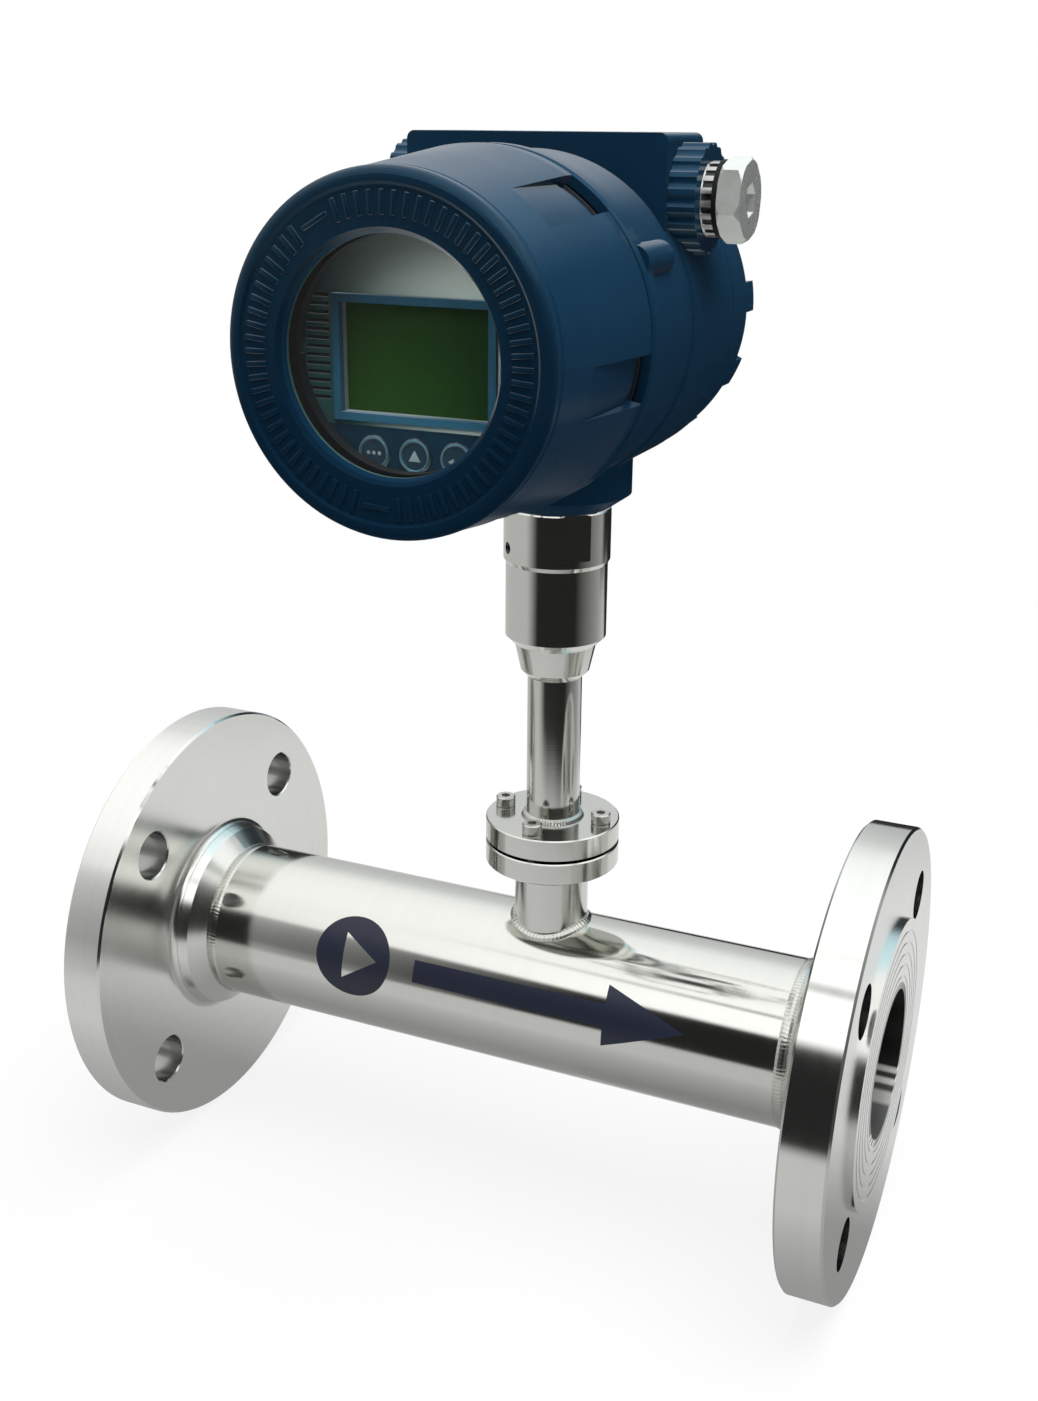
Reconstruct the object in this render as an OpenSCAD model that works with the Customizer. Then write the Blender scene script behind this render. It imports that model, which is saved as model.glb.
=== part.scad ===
// Inline thermal mass flow meter on a flanged measuring pipe.
// The gas flows along +X, +Z is up and the display looks towards -Y.
// The origin is the centre of the inlet flange's bolting face.

/* [Measuring pipe] */
// Sealing face of the inlet flange to the probe's axis
inlet_run = 162; // [140:1:240]
// Probe's axis to the sealing face of the outlet flange
outlet_run = 127; // [110:1:240]
// Outside diameter of the pipe
pipe_d = 60.3; // [54:0.1:66]
// Wall of the pipe
pipe_wall = 3.9; // [2.6:0.1:5]
// Width of the cap of each girth weld
girth_w = 4; // [2:0.5:6]
// Height of the cap of each girth weld
girth_h = 0.4; // [0.2:0.1:1]

/* [Flanges] */
// Outside diameter of each flange
flange_d = 165; // [155:1:190]
// Thickness of the bolted ring
flange_t = 16; // [12:0.5:22]
// Height of the raised sealing face
face_h = 2; // [1:0.5:3]
// Height of the hub over the pipe where it leaves the ring
hub_rise = 6.85; // [4:0.05:9]
// Length of the hub, from the ring to the girth weld
hub_len = 13; // [9:0.5:30]
// Rim of the flange in to the centre of each bolt hole
bolt_edge = 20; // [16:0.5:24]
// Diameter of the bolt holes
bolt_hole_d = 18; // [14:0.5:20]
// Bolt holes in to the edge of the raised sealing face
face_clear = 2.5; // [1:0.5:6]
// Number of bolt holes
bolt_count = 4; // [4:4:8]

/* [Probe joint] */
// Top of the pipe to the face where the two small flanges meet
socket_h = 31.5; // [22:0.5:45]
// Gap between the stem tube and the bore of the socket that is welded to the pipe
stem_pass = 0.9; // [0.5:0.1:1.5]
// Wall of the socket
socket_wall = 2.9; // [2:0.1:4]
// Radius of the weld bead round the socket's foot
bead_r = 1.8; // [1:0.1:2.5]
// Width of the two small flanges outside the stem tube
joint_reach = 14.5; // [12.5:0.5:18]
// Thickness of each small flange
joint_t = 8; // [6:0.5:10]
// Thickness of the gasket between them
gasket_t = 1; // [0.5:0.1:2]
// Rim of the small flanges in to the centre of each screw
screw_edge = 5.5; // [4.5:0.5:6.5]
// Thread size of the joint's screws
screw_d = 4; // [3:0.5:4.5]

/* [Stem] */
// Outside diameter of the stem tube
stem_d = 19.05; // [17:0.05:19.6]
// Wall of the stem tube
stem_wall = 1.65; // [1:0.05:2.5]
// Bare length of the stem between the joint and the coupling
stem_bare = 53.3; // [30:0.1:120]
// Height of the coupling's barrel over the stem tube
coupling_rise = 7.9; // [6.5:0.1:10]
// Straight length of the coupling's barrel
coupling_len = 25.8; // [18:0.1:40]
// Height of the swivel sleeve over the coupling's barrel
sleeve_rise = 0.8; // [0.4:0.1:3]
// Wall of the swivel sleeve
sleeve_wall = 4.7; // [3.8:0.1:5.5]
// Length of the swivel sleeve
sleeve_len = 19.3; // [17:0.1:30]

/* [Probe tip] */
// Pipe's axis up to the lower end of the stem tube
tip_z = 18; // [14:0.5:22]
// Pipe's axis down to the lower end of the guard
guard_drop = 14; // [12:0.5:18]
// Diameter of the two sensing wells
well_d = 3.2; // [2:0.1:4]
// Distance between the two sensing wells
well_gap = 8; // [5:0.5:8]

/* [Housing] */
// Length of the neck below the barrel
neck_len = 11.6; // [9:0.1:30]
// Diameter of the neck
neck_d = 49.6; // [44:0.1:56]
// Diameter of the barrel
barrel_d = 102; // [85:0.5:125]
// Wall of the barrel
barrel_wall = 8; // [6.5:0.5:10]
// Step from the bore of the compartments to the threads of the covers
thread_step = 3.5; // [3:0.1:4.5]
// Probe's axis forward to the joint of the front cover
front_len = 61; // [58:0.5:72]
// Probe's axis back to the joint of the rear cover
rear_len = 20; // [19:0.5:30]
// Travel of both covers in one turn
thread_pitch = 2; // [1:0.25:3]

/* [Conduit entries] */
// Flat top of the block down to the axis of the entries
entry_drop = 18.7; // [17:0.1:22]
// Probe's axis forward to the axis of the entries
entry_fwd = 7.5; // [5:0.5:8]
// Thread size of the entries
entry_d = 20; // [16:0.5:20]
// Side of the barrel in to the end of the block between the entries
block_in = 8.5; // [6:0.5:14]
// Depth of the block
block_depth = 33; // [30:0.5:35]
// Height of the block's flat top over the barrel
block_rise = 4.7; // [3:0.1:8]
// Wall of the fluted ring round each entry
ring_wall = 6.1; // [5:0.1:8]
// Length of the fluted ring at each entry
ring_len = 8.5; // [7:0.5:14]
// Number of flutes on each ring
flute_count = 20; // [12:1:24]

/* [Covers] */
// Length of the front cover ahead of its joint
cover_len = 59; // [56:0.5:75]
// Height of the front cover over the barrel at its joint
cover_rise = 1.8; // [1:0.1:4]
// Taper of the front cover from its joint to its face, on the radius
cover_taper = 4.6; // [0.5:0.1:5.5]
// Width of the front cover's face round the window
window_rim = 16.7; // [13.5:0.1:20]
// Thickness of the window glass
glass_t = 6; // [4:0.5:8]
// Number of grip pockets round the front cover
pocket_count = 6; // [4:1:8]
// Width of each grip pocket
pocket_w = 14.5; // [10:0.5:18]
// Length of the rear cover behind its joint
rear_cover_len = 28.5; // [24:0.5:36]
// Number of grip lugs round the rear cover
lug_count = 12; // [8:1:16]

/* [Display] */
// Gap between the electronics module and the bore of its compartment
module_gap = 3.5; // [2:0.5:6]
// Ring that clamps the window back to the face of the display plate
plate_gap = 4; // [3:0.5:8]
// Rim of the module in to each side of the frame round the liquid crystal panel
lcd_side = 15; // [14:0.5:20]
// Rim of the module in to each end of that frame
lcd_end = 22.5; // [21:0.5:27]
// Diameter of the keys
key_d = 9.2; // [8:0.1:9.4]
// Space between neighbouring keys
key_space = 3.4; // [2.4:0.1:5]
// Rim of the module in to the centre of the middle key
key_in = 11.5; // [9:0.5:12]
// Travel of a key when it is pressed
key_travel = 0.5; // [0.3:0.05:0.5]

/* [Hidden] */
$fn = 96;

// How far every cut runs past the face that it opens
over = 1;
// Radial gap of a shaft that turns in its bore
run_gap = 0.05;
// Gap between parts of different bodies that only pass each other
pass_gap = 0.3;
// Radial gap of a screw in its thread, and of a screw in its clearance hole
thread_gap = 0.05;
hole_gap = 0.25;
// Broken edge of most pieces
edge = 0.8;

// Places along the pipe
pipe_r = pipe_d / 2;
bore_r = pipe_r - pipe_wall;
probe_x = inlet_run - face_h;
outlet_x = probe_x + outlet_run - face_h;
inlet_weld_x = flange_t + hub_len;
flange_r = flange_d / 2;
bolt_circle_r = flange_r - bolt_edge;
face_r = bolt_circle_r - bolt_hole_d / 2 - face_clear;
hub_r = pipe_r + hub_rise;
outlet_weld_x = outlet_x - flange_t - hub_len;

// Height of a weld's cap a quarter of its width in, as a share of its height
cap_share = 0.75;

// Flange details: share of the hub that is nearly straight, its fillet and the grooves of the sealing face
hub_land_share = 0.45;
hub_draft = 1.2;
hub_fillet = 2.5;
hole_edge = 0.5;
arc_steps = 6;
groove_count = 5;
groove_w = 0.8;
groove_depth = 0.3;
groove_inset = 4;
groove_pitch = (face_r - bore_r - 2 * groove_inset - groove_w) / (groove_count - 1);

// Heights above the pipe's axis
stem_r = stem_d / 2;
joint_z = pipe_r + socket_h;
probe_flange_z = joint_z + gasket_t;
probe_flange_top = probe_flange_z + joint_t;
coupling_z = probe_flange_top + stem_bare;
foot_h = 2.5;
foot_r = stem_r + foot_h;
cone_h = 9.5;
cone_spread = 2.1;
cone_r = foot_r + cone_spread;
shoulder_h = 3.2;
barrel_z = coupling_z + foot_h + cone_h + shoulder_h;
sleeve_z = barrel_z + coupling_len;
sleeve_top = sleeve_z + sleeve_len;
swivel_gap = 0.1;
neck_z = sleeve_top + swivel_gap;
barrel_r = barrel_d / 2;
head_z = neck_z + neck_len + barrel_r;

// Probe joint
socket_bore_r = stem_r + stem_pass;
socket_r = socket_bore_r + socket_wall;
joint_r = stem_r + joint_reach;
screw_circle_r = joint_r - screw_edge;
gasket_margin = 0.75;
screw_count = 4;
screw_r = screw_d / 2;
gasket_r = screw_circle_r - screw_r - hole_gap - gasket_margin;
head_share = 0.875;
head_r = head_share * screw_d;
head_h = screw_d;
screw_bite = 7;
tip_gap = 1;
recess_share = 0.6;
bead_rings = 72;
bead_sides = 8;
stem_weld_w = 1.8;
stem_weld_share = 0.65;

// Stem, coupling and swivel
stem_bore_r = stem_r - stem_wall;
stem_seat = 8;
lead_room = 2.5;
coupling_bore_r = stem_r + lead_room;
coupling_floor = 3;
register_h = 2;
register_w = 2.4;
coupling_r = stem_r + coupling_rise;
sleeve_r = coupling_r + sleeve_rise;
register_r = coupling_r - register_w;
seal_h = 6;
step_h = 1.5;
flat_depth = 0.8;
flat_up = 3.7;
flat_turn = -47;
nipple_r = sleeve_r - sleeve_wall - run_gap;
nipple_wall = 4.4;
nipple_bore_r = nipple_r - nipple_wall;
nipple_foot = 1;
neck_seat = 12;
lock_turn = 227;
lock_up = 6;
lock_d = 4;
lock_sink = 0.6;
lock_groove_depth = 1.2;
o_ring_up = 13;
o_ring_d = 2.2;

// Probe tip
head_plug_h = 6;
plug_spigot_h = 6;
guard_wall = 1.8;
guard_window_w = 12.4;
guard_floor = 2.5;
well_clear = 2.5;
well_tip_z = guard_floor + well_clear - guard_drop;

// Housing: axial places are distances forward of the probe's axis
chamber_r = barrel_r - barrel_wall;
thread_r = chamber_r + thread_step;
cover_rear_r = barrel_r + cover_rise;
cover_front_r = cover_rear_r - cover_taper;
seam_gap = 2.4;
collar_f = front_len - seam_gap;
collar_len = 5.6;
collar_slope = 1.8;
step_back = 4;
step_f = entry_fwd + block_depth / 2 - step_back;
rear_rise = 0.8;
rear_r = barrel_r + rear_rise;
rear_gap = 0.6;
rear_rim_rise = 0.5;
rear_rim_r = barrel_r + rear_rim_rise;
cover_clear = 1;
front_turn_count = 7;
rear_turn_count = 6;
front_skirt = front_turn_count * thread_pitch;
rear_skirt = rear_turn_count * thread_pitch;
bulkhead_f = 18;
bulkhead_t = 6;
front_floor = bulkhead_f + bulkhead_t;
neck_r = neck_d / 2;
neck_slope = 5;
neck_face_w = 4;
neck_face_r = nipple_r + neck_face_w;
neck_root = 10;
seal_d = 2.4;
seal_r = seal_d / 2;
seat_r = thread_r + seal_d + run_gap + pass_gap;
seat_depth = seal_d + pass_gap + run_gap - seam_gap;
rear_seat_depth = seal_d + pass_gap + run_gap - rear_gap;
feed_r = 7;
feed_head_r = 10;
feed_head_h = 2.5;
pillar_count = 3;
pillar_in = 6.5;
module_r = chamber_r - module_gap;
pillar_circle_r = module_r - pillar_in;
pillar_r = 4;
pillar_h = 3;

// Conduit block and entries
entry_r = entry_d / 2;
ring_r = entry_r + ring_wall;
block_up = barrel_r + block_rise;
entry_up = block_up - entry_drop;
block_end = barrel_r - block_in;
ring_root = 4;
flute_r = 2.6;
flute_out = 1.8;
block_round = 2.5;
block_f = entry_fwd - block_depth / 2;
ring_end = block_end + ring_len;
entry_thread = 17;
passage_step = 0.8;
entry_depth = 32;
mouth_edge = 1;
plug_thread_len = 18;
washer_t = 1.5;
washer_w = 1.4;
washer_r = entry_r + washer_w;
plug_show = 3.5;
plug_head_w = 2.8;
plug_head_r = entry_r + plug_head_w;
plug_head_t = 7.2;
plug_turn = 17.5;
plug_chamfer = 1.4;
plug_socket_r = 5.2;
plug_socket_depth = 4;

// Cover locks and the outside earth terminal
lock_lug_r = 5;
lock_lug_in = 1.5;
lock_lug_len = 26;
lock_lug_taper = 4;
lock_lug_back = 2;
front_lock_turn = 26;
rear_lock_turn = 154;
cover_screw_r = 2;
cover_screw_len = 20;
cover_screw_sink = 2;
earth_turn = 203;
earth_f = 0;
earth_boss_r = 6;
earth_boss_out = 3;
earth_screw_r = 2.5;
earth_head_r = 4.2;
earth_head_h = 3;
earth_washer_r = 5.2;
earth_washer_t = 1.2;
earth_bite = 5;

// Front cover and window
cover_f = front_len + cover_len;
skirt_wall = 4;
cover_band = 5;
rim_round = 3;
rim_w = 4;
rim_rise = 0.8;
bead_f = 4.6;
bead_depth = 0.7;
bead_w = 1.4;
window_r = cover_front_r - window_rim;
lip_t = 4;
bevel = 1.7;
window_gasket_t = 1;
glass_hold = 4.5;
glass_r = window_r + glass_hold;
glass_gap = 0.2;
glass_f = cover_f - lip_t - window_gasket_t - glass_t;
window_ring_t = 4;
window_ring_w = 2;
window_ring_r = glass_r + window_ring_w;
ring_slot_w = 3;
ring_slot_depth = 2;
pocket_turn = -10;
pocket_rise = 1.5;
pocket_floor = cover_front_r + pocket_rise;
notch_step = 1.3;
notch_floor = pocket_floor - notch_step;
notch_len = 7;

// Rear cover
rear_rim_len = 9;
rear_body_step = 1.1;
rear_body_r = rear_rim_r - rear_body_step;
lug_len = 6;
lug_ring_w = 7.4;
lug_ring_r = rear_body_r - lug_ring_w;
lug_w = 9.7;
lug_turn = 4.6;
lug_drop = 0.2;
rear_wall = 5;
hollow_step = 2.5;
rear_hollow_r = thread_r - skirt_wall - hollow_step;
rear_round = 3;

// Electronics module: places are distances forward of the probe's axis
module_wall = 2;
module_f = front_floor + pillar_h;
base_t = 2.5;
plate_f = glass_f - window_ring_t - plate_gap;
plate_t = 1.2;
case_front_t = 2;
case_front_f = plate_f - plate_t;
plate_inset = 0.8;
lcd_up = -2.5;
lcd_w = 2 * (module_r - lcd_side);
lcd_h = 2 * (module_r - lcd_end);
lcd_frame_w = 2.2;
lcd_rise = 1;
lcd_panel_t = 5;
fit_gap = 0.2;
key_up = key_in - module_r;
key_step = key_d + key_space;
key_ring_w = 0.8;
key_ring_h = 0.5;
key_rise = 0.5;
key_flange_w = 1;
key_flange_t = 1;
key_stem_r = 2;
key_stem_len = 0.6;
louvre_count = 13;
louvre_w = 7.4;
louvre_h = 1;
louvre_pitch = 2.3;
louvre_in = 6.2;
louvre_x = louvre_in - module_r;
louvre_depth = 0.5;
board_gap = 1.5;
board_r = module_r - module_wall - board_gap;
board_t = 1.6;
lower_spacer_h = 15.5;
main_board_f = module_f + base_t + lower_spacer_h;
spacer_r = 2.5;
spacer_in = 5;
spacer_circle_r = board_r - spacer_in;
spacer_turn = 45;
spacer_count = 4;
switch_w = 6;
switch_h = 3.4;
plunger_r = 1.6;
plunger_h = 1.2;
switch_gap = 0.1;
display_board_f = case_front_f - case_front_t - pass_gap - key_flange_t - key_stem_len
    - key_travel - switch_gap - plunger_h - switch_h - board_t;
transformer_w = 26;
transformer_h = 22;
transformer_t = 20;
module_screw_r = 2;
module_screw_head_r = 3.5;
module_screw_head_h = 2.4;

// Terminal compartment
terminal_ways = 8;
terminal_pitch = 6;
terminal_h = 18;
terminal_up = -3;
terminal_t = 13;
terminal_screw_r = 1.9;
terminal_screw_sink = 2;
terminal_screw_len = 5;
wire_hole_r = 1.7;
wire_hole_depth = 7;
slot_w = 0.7;
slot_depth = 0.6;
ground_turn = 222.5;
ground_in = 7.5;
ground_boss_r = 5;
ground_boss_h = 4;

// Colours
steel = [0.78, 0.78, 0.76];
paint = [0.05, 0.16, 0.27];
rubber = [0.04, 0.04, 0.045];
plastic = [0.45, 0.48, 0.47];
board_green = [0.05, 0.3, 0.15];

// Frames: along the pipe, at the probe's axis, and the head with its local Z looking forward
module along_x(x) translate([x, 0, 0]) rotate([0, 90, 0]) children();
module at_probe() translate([probe_x, 0, 0]) children();
module in_head() translate([probe_x, 0, head_z]) rotate([90, 0, 0]) children();
module turned(points) rotate_extrude() polygon(points);

// A disc with both rims broken, standing on z = 0
module edged_disc(r, h, e) turned([[0, 0], [r - e, 0], [r, e], [r, h - e], [r - e, h], [0, h]]);

// A rectangle with round corners, centred
module round_rect(w, h, r) {
    square([w - 2 * r, h], center = true);
    square([w, h - 2 * r], center = true);
    for (x = [-1, 1], y = [-1, 1])
        translate([x * (w / 2 - r), y * (h / 2 - r)]) circle(r);
}

// Copies round the local Z axis
module around(count, start) for (i = [0 : count - 1]) rotate(start + i * 360 / count) children();

// Weld-neck flange: local Z points out of the pipe, z = 0 is the bolting face
module flange() {
    land = flange_t + hub_len * hub_land_share;
    back = flange_t + hub_len;
    fillet = [for (i = [0 : arc_steps]) [
        hub_r + hub_fillet * (1 - sin(i * 90 / arc_steps)),
        -flange_t - hub_fillet * (1 - cos(i * 90 / arc_steps))
    ]];
    difference() {
        rotate_extrude() difference() {
            polygon(concat([
                [bore_r, face_h], [face_r, face_h], [face_r, 0], [flange_r - edge, 0],
                [flange_r, -edge], [flange_r, edge - flange_t], [flange_r - edge, -flange_t]
            ], fillet, [
                [hub_r - hub_draft, -land], [pipe_r, girth_w / 2 - back], [pipe_r, -back], [bore_r, -back]
            ]));
            for (i = [0 : groove_count - 1])
                translate([bore_r + groove_inset + i * groove_pitch, face_h - groove_depth])
                    square([groove_w, groove_depth + over]);
        }
        around(bolt_count, 180 / bolt_count) translate([bolt_circle_r, 0, -flange_t - over]) {
            cylinder(d = bolt_hole_d, h = flange_t + 2 * over);
            cylinder(d1 = bolt_hole_d + 2 * (hole_edge + over), d2 = bolt_hole_d, h = hole_edge + over);
        }
    }
}

module inlet_flange() color(steel) rotate([0, -90, 0]) flange();

module outlet_flange() color(steel) along_x(outlet_x) flange();

module measuring_pipe() color(steel) difference() {
    along_x(inlet_weld_x) cylinder(r = pipe_r, h = outlet_weld_x - inlet_weld_x);
    along_x(inlet_weld_x - over) cylinder(r = bore_r, h = outlet_weld_x - inlet_weld_x + 2 * over);
    at_probe() cylinder(r = socket_bore_r, h = joint_z);
}

// Each cap rises in two slopes to its crown
module girth_welds() color(steel) for (x = [inlet_weld_x, outlet_weld_x]) along_x(x) turned([
    [pipe_r, -girth_w / 2], [pipe_r + girth_h * cap_share, -girth_w / 4], [pipe_r + girth_h, 0],
    [pipe_r + girth_h * cap_share, girth_w / 4], [pipe_r, girth_w / 2]
]);

// The socket stands on the pipe with a fish-mouthed foot
module sensor_socket() color(steel) difference() {
    at_probe() union() {
        cylinder(r = socket_r, h = joint_z - joint_t / 2);
        translate([0, 0, joint_z - joint_t]) edged_disc(joint_r, joint_t, edge / 2);
    }
    along_x(probe_x - joint_r) cylinder(r = pipe_r, h = 2 * joint_r);
    at_probe() {
        cylinder(r = socket_bore_r, h = joint_z + over);
        translate([0, 0, joint_z - screw_bite]) around(screw_count, 0)
            translate([screw_circle_r, 0, 0]) cylinder(r = screw_r + thread_gap, h = screw_bite + over);
    }
}

// The bead follows the curve in which the socket meets the pipe: a ring of small
// circles, each in the upright plane through the probe's axis
function saddle_z(a) = sqrt(pipe_r * pipe_r - pow(socket_r * sin(a), 2));
function bead_point(a, b) = [
    (socket_r + bead_r * cos(b)) * cos(a),
    (socket_r + bead_r * cos(b)) * sin(a),
    saddle_z(a) + bead_r * sin(b)
];

module socket_weld() color(steel) difference() {
    at_probe() polyhedron(
        points = [for (i = [0 : bead_rings - 1], j = [0 : bead_sides - 1])
            bead_point(i * 360 / bead_rings, (j + 0.5) * 360 / bead_sides)],
        faces = [for (i = [0 : bead_rings - 1], j = [0 : bead_sides - 1], half = [0, 1])
            let (k = (i + 1) % bead_rings, l = (j + 1) % bead_sides)
            half == 0
                ? [i * bead_sides + j, i * bead_sides + l, k * bead_sides + l]
                : [i * bead_sides + j, k * bead_sides + l, k * bead_sides + j]]
    );
    along_x(probe_x - joint_r) cylinder(r = pipe_r, h = 2 * joint_r);
    at_probe() cylinder(r = socket_r, h = joint_z);
}

module joint_gasket() color(rubber) at_probe() translate([0, 0, joint_z]) difference() {
    cylinder(r = gasket_r, h = gasket_t);
    translate([0, 0, -over]) cylinder(r = socket_bore_r, h = gasket_t + 2 * over);
}

module probe_flange() color(steel) at_probe() translate([0, 0, probe_flange_z]) difference() {
    edged_disc(joint_r, joint_t, edge / 2);
    translate([0, 0, -over]) cylinder(r = stem_r, h = joint_t + 2 * over);
    around(screw_count, 0) translate([screw_circle_r, 0, -over])
        cylinder(r = screw_r + hole_gap, h = joint_t + 2 * over);
}

// Set screw with a hexagon recess in its outer end, which is z = len
module set_screw(r, len) difference() {
    cylinder(r = r, h = len);
    translate([0, 0, len - r]) cylinder(r = r * recess_share, h = r + over, $fn = 6);
}

// Socket head cap screw with a hexagon recess, its seat is z = 0
module cap_screw(shank, r, head, height) difference() {
    union() {
        translate([0, 0, -shank]) cylinder(r = r, h = shank);
        edged_disc(head, height, edge / 2);
    }
    translate([0, 0, height / 2]) cylinder(r = head / 2, h = height / 2 + over, $fn = 6);
}

module joint_screws() color(steel) at_probe() translate([0, 0, probe_flange_top])
    around(screw_count, 0) translate([screw_circle_r, 0, 0])
        cap_screw(joint_t + gasket_t + screw_bite - tip_gap, screw_r, head_r, head_h);

module stem_weld() color(steel) at_probe() translate([0, 0, probe_flange_top]) turned([
    [stem_r, 0], [stem_r + stem_weld_w, 0],
    [stem_r + stem_weld_w * stem_weld_share, stem_weld_w * stem_weld_share], [stem_r, stem_weld_w]
]);

module stem_tube() color(steel) at_probe() translate([0, 0, tip_z]) difference() {
    cylinder(r = stem_r, h = coupling_z + stem_seat - tip_z);
    translate([0, 0, -over]) cylinder(r = stem_bore_r, h = coupling_z + stem_seat - tip_z + 2 * over);
}

// Plug that closes the stem and holds the two wells
module probe_head() color(steel) at_probe() translate([0, 0, tip_z]) difference() {
    union() {
        translate([0, 0, -head_plug_h]) cylinder(r = stem_r, h = head_plug_h);
        cylinder(r = stem_bore_r, h = plug_spigot_h);
    }
    for (side = [-1, 1]) translate([0, side * well_gap / 2, -head_plug_h - over])
        cylinder(d = well_d, h = head_plug_h + plug_spigot_h + 2 * over);
}

module well(side) at_probe() translate([0, side * well_gap / 2, 0]) rotate_extrude() {
    translate([0, well_tip_z + well_d / 2])
        square([well_d / 2, tip_z + plug_spigot_h - well_tip_z - well_d / 2]);
    intersection() {
        translate([0, well_tip_z + well_d / 2]) circle(d = well_d);
        translate([0, well_tip_z]) square([well_d / 2, well_d / 2]);
    }
}

module heated_well() color("lightsteelblue") well(-1);

module reference_well() color("lightsteelblue") well(1);

// Tube with a window for the gas and an open floor
module probe_guard() color(steel) at_probe() translate([0, 0, -guard_drop]) difference() {
    guard_h = guard_drop + tip_z - head_plug_h;
    cylinder(r = stem_r, h = guard_h);
    translate([0, 0, -over]) cylinder(r = stem_r - guard_wall, h = guard_h + 2 * over);
    translate([-stem_d, -guard_window_w / 2, guard_floor]) cube([2 * stem_d, guard_window_w, guard_h]);
}

// Reducer from the stem to the swivel, bored for the leads
module stem_coupling() color(steel) at_probe() {
    seat_z = coupling_z + stem_seat;
    turned([
        [stem_r, coupling_z], [foot_r, coupling_z + foot_h], [cone_r, coupling_z + foot_h + cone_h],
        [coupling_r, barrel_z], [coupling_r, sleeve_z], [register_r, sleeve_z],
        [register_r, sleeve_z + register_h], [coupling_bore_r, sleeve_z + register_h],
        [coupling_bore_r, barrel_z + coupling_floor], [stem_bore_r, barrel_z + coupling_floor],
        [stem_bore_r, seat_z], [stem_r, seat_z]
    ]);
}

module lead_seal() color(rubber) at_probe() translate([0, 0, barrel_z + coupling_floor])
    cylinder(r = coupling_bore_r, h = seal_h);

// Sleeve with two spanner flats and the hole of the lock screw
module swivel_sleeve() color(steel) at_probe() difference() {
    turned([
        [register_r, sleeve_z], [coupling_r, sleeve_z], [sleeve_r, sleeve_z + step_h],
        [sleeve_r, sleeve_top - edge / 2], [sleeve_r - edge / 2, sleeve_top],
        [nipple_r + run_gap, sleeve_top], [nipple_r + run_gap, sleeve_z + register_h],
        [register_r, sleeve_z + register_h]
    ]);
    around(2, flat_turn) translate([sleeve_r - flat_depth, -sleeve_r, sleeve_z + flat_up])
        cube([flat_depth + over, 2 * sleeve_r, sleeve_len]);
    rotate(lock_turn) translate([0, 0, sleeve_z + lock_up]) rotate([0, 90, 0])
        cylinder(r = lock_d / 2 + thread_gap, h = sleeve_r + over);
}

module lock_screw() color([0.25, 0.25, 0.25]) at_probe() rotate(lock_turn) rotate([0, 90, 0])
    translate([-sleeve_z - lock_up, 0, nipple_r - lock_groove_depth + pass_gap])
        set_screw(lock_d / 2, sleeve_r - lock_sink - nipple_r + lock_groove_depth - pass_gap);

// Hollow nipple of the head: it turns in the sleeve and carries the seal and the lock groove
module swivel_nipple() color(steel) at_probe() difference() {
    foot_z = sleeve_z + register_h + nipple_foot;
    groove_z = sleeve_z + lock_up;
    translate([0, 0, foot_z]) cylinder(r = nipple_r, h = neck_z + neck_seat - foot_z);
    translate([0, 0, foot_z - over]) cylinder(r = nipple_bore_r, h = neck_z + neck_seat);
    translate([0, 0, groove_z]) rotate_extrude()
        translate([nipple_r - lock_groove_depth, -lock_d / 2 - pass_gap])
            square([lock_groove_depth + over, lock_d + 2 * pass_gap]);
    translate([0, 0, sleeve_z + o_ring_up]) rotate_extrude()
        translate([nipple_r - o_ring_d, -o_ring_d / 2]) square([o_ring_d + over, o_ring_d]);
}

module swivel_o_ring() color(rubber) at_probe() translate([0, 0, sleeve_z + o_ring_up])
    rotate_extrude() translate([nipple_r - o_ring_d / 2, 0]) circle(d = o_ring_d);

// One fluted ring: a disc with scallops all round
module fluted_ring() linear_extrude(ring_len + ring_root) difference() {
    circle(ring_r);
    around(flute_count, 0) translate([ring_r + flute_out, 0]) circle(flute_r);
}

// Lug that carries a cover's lock screw: z = 0 is its small end and local Z points to the cover
module lock_lug() turned([
    [0, 0], [lock_lug_r - lock_lug_taper / 2, 0], [lock_lug_r, lock_lug_taper], [lock_lug_r, lock_lug_len],
    [0, lock_lug_len]
]);

module at_front_lock() rotate(front_lock_turn)
    translate([barrel_r - lock_lug_in, 0, collar_f - lock_lug_back - lock_lug_len]) children();

module at_rear_lock() rotate(rear_lock_turn)
    translate([barrel_r - lock_lug_in, 0, lock_lug_back + lock_lug_len - rear_len]) rotate([180, 0, 0])
        children();

module at_ground() rotate(ground_turn)
    translate([chamber_r - ground_in, 0, bulkhead_f - ground_boss_h]) children();

module lock_hole() translate([0, 0, -over])
    cylinder(r = cover_screw_r + thread_gap, h = lock_lug_len + lock_lug_back + 2 * over);

module barrel_outside() turned([
    [0, collar_f], [cover_rear_r - edge, collar_f], [cover_rear_r, collar_f - edge],
    [cover_rear_r, collar_f - collar_len],
    [barrel_r, collar_f - collar_len - collar_slope], [barrel_r, step_f], [rear_r, step_f - edge / 2],
    [rear_r, edge - rear_len], [rear_r - edge, -rear_len], [0, -rear_len]
]);

module neck_outside() turned([
    [0, neck_z], [neck_face_r, neck_z], [neck_r, neck_z + neck_slope],
    [neck_r, head_z - chamber_r + neck_root], [0, head_z - chamber_r + neck_root]
]);

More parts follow.
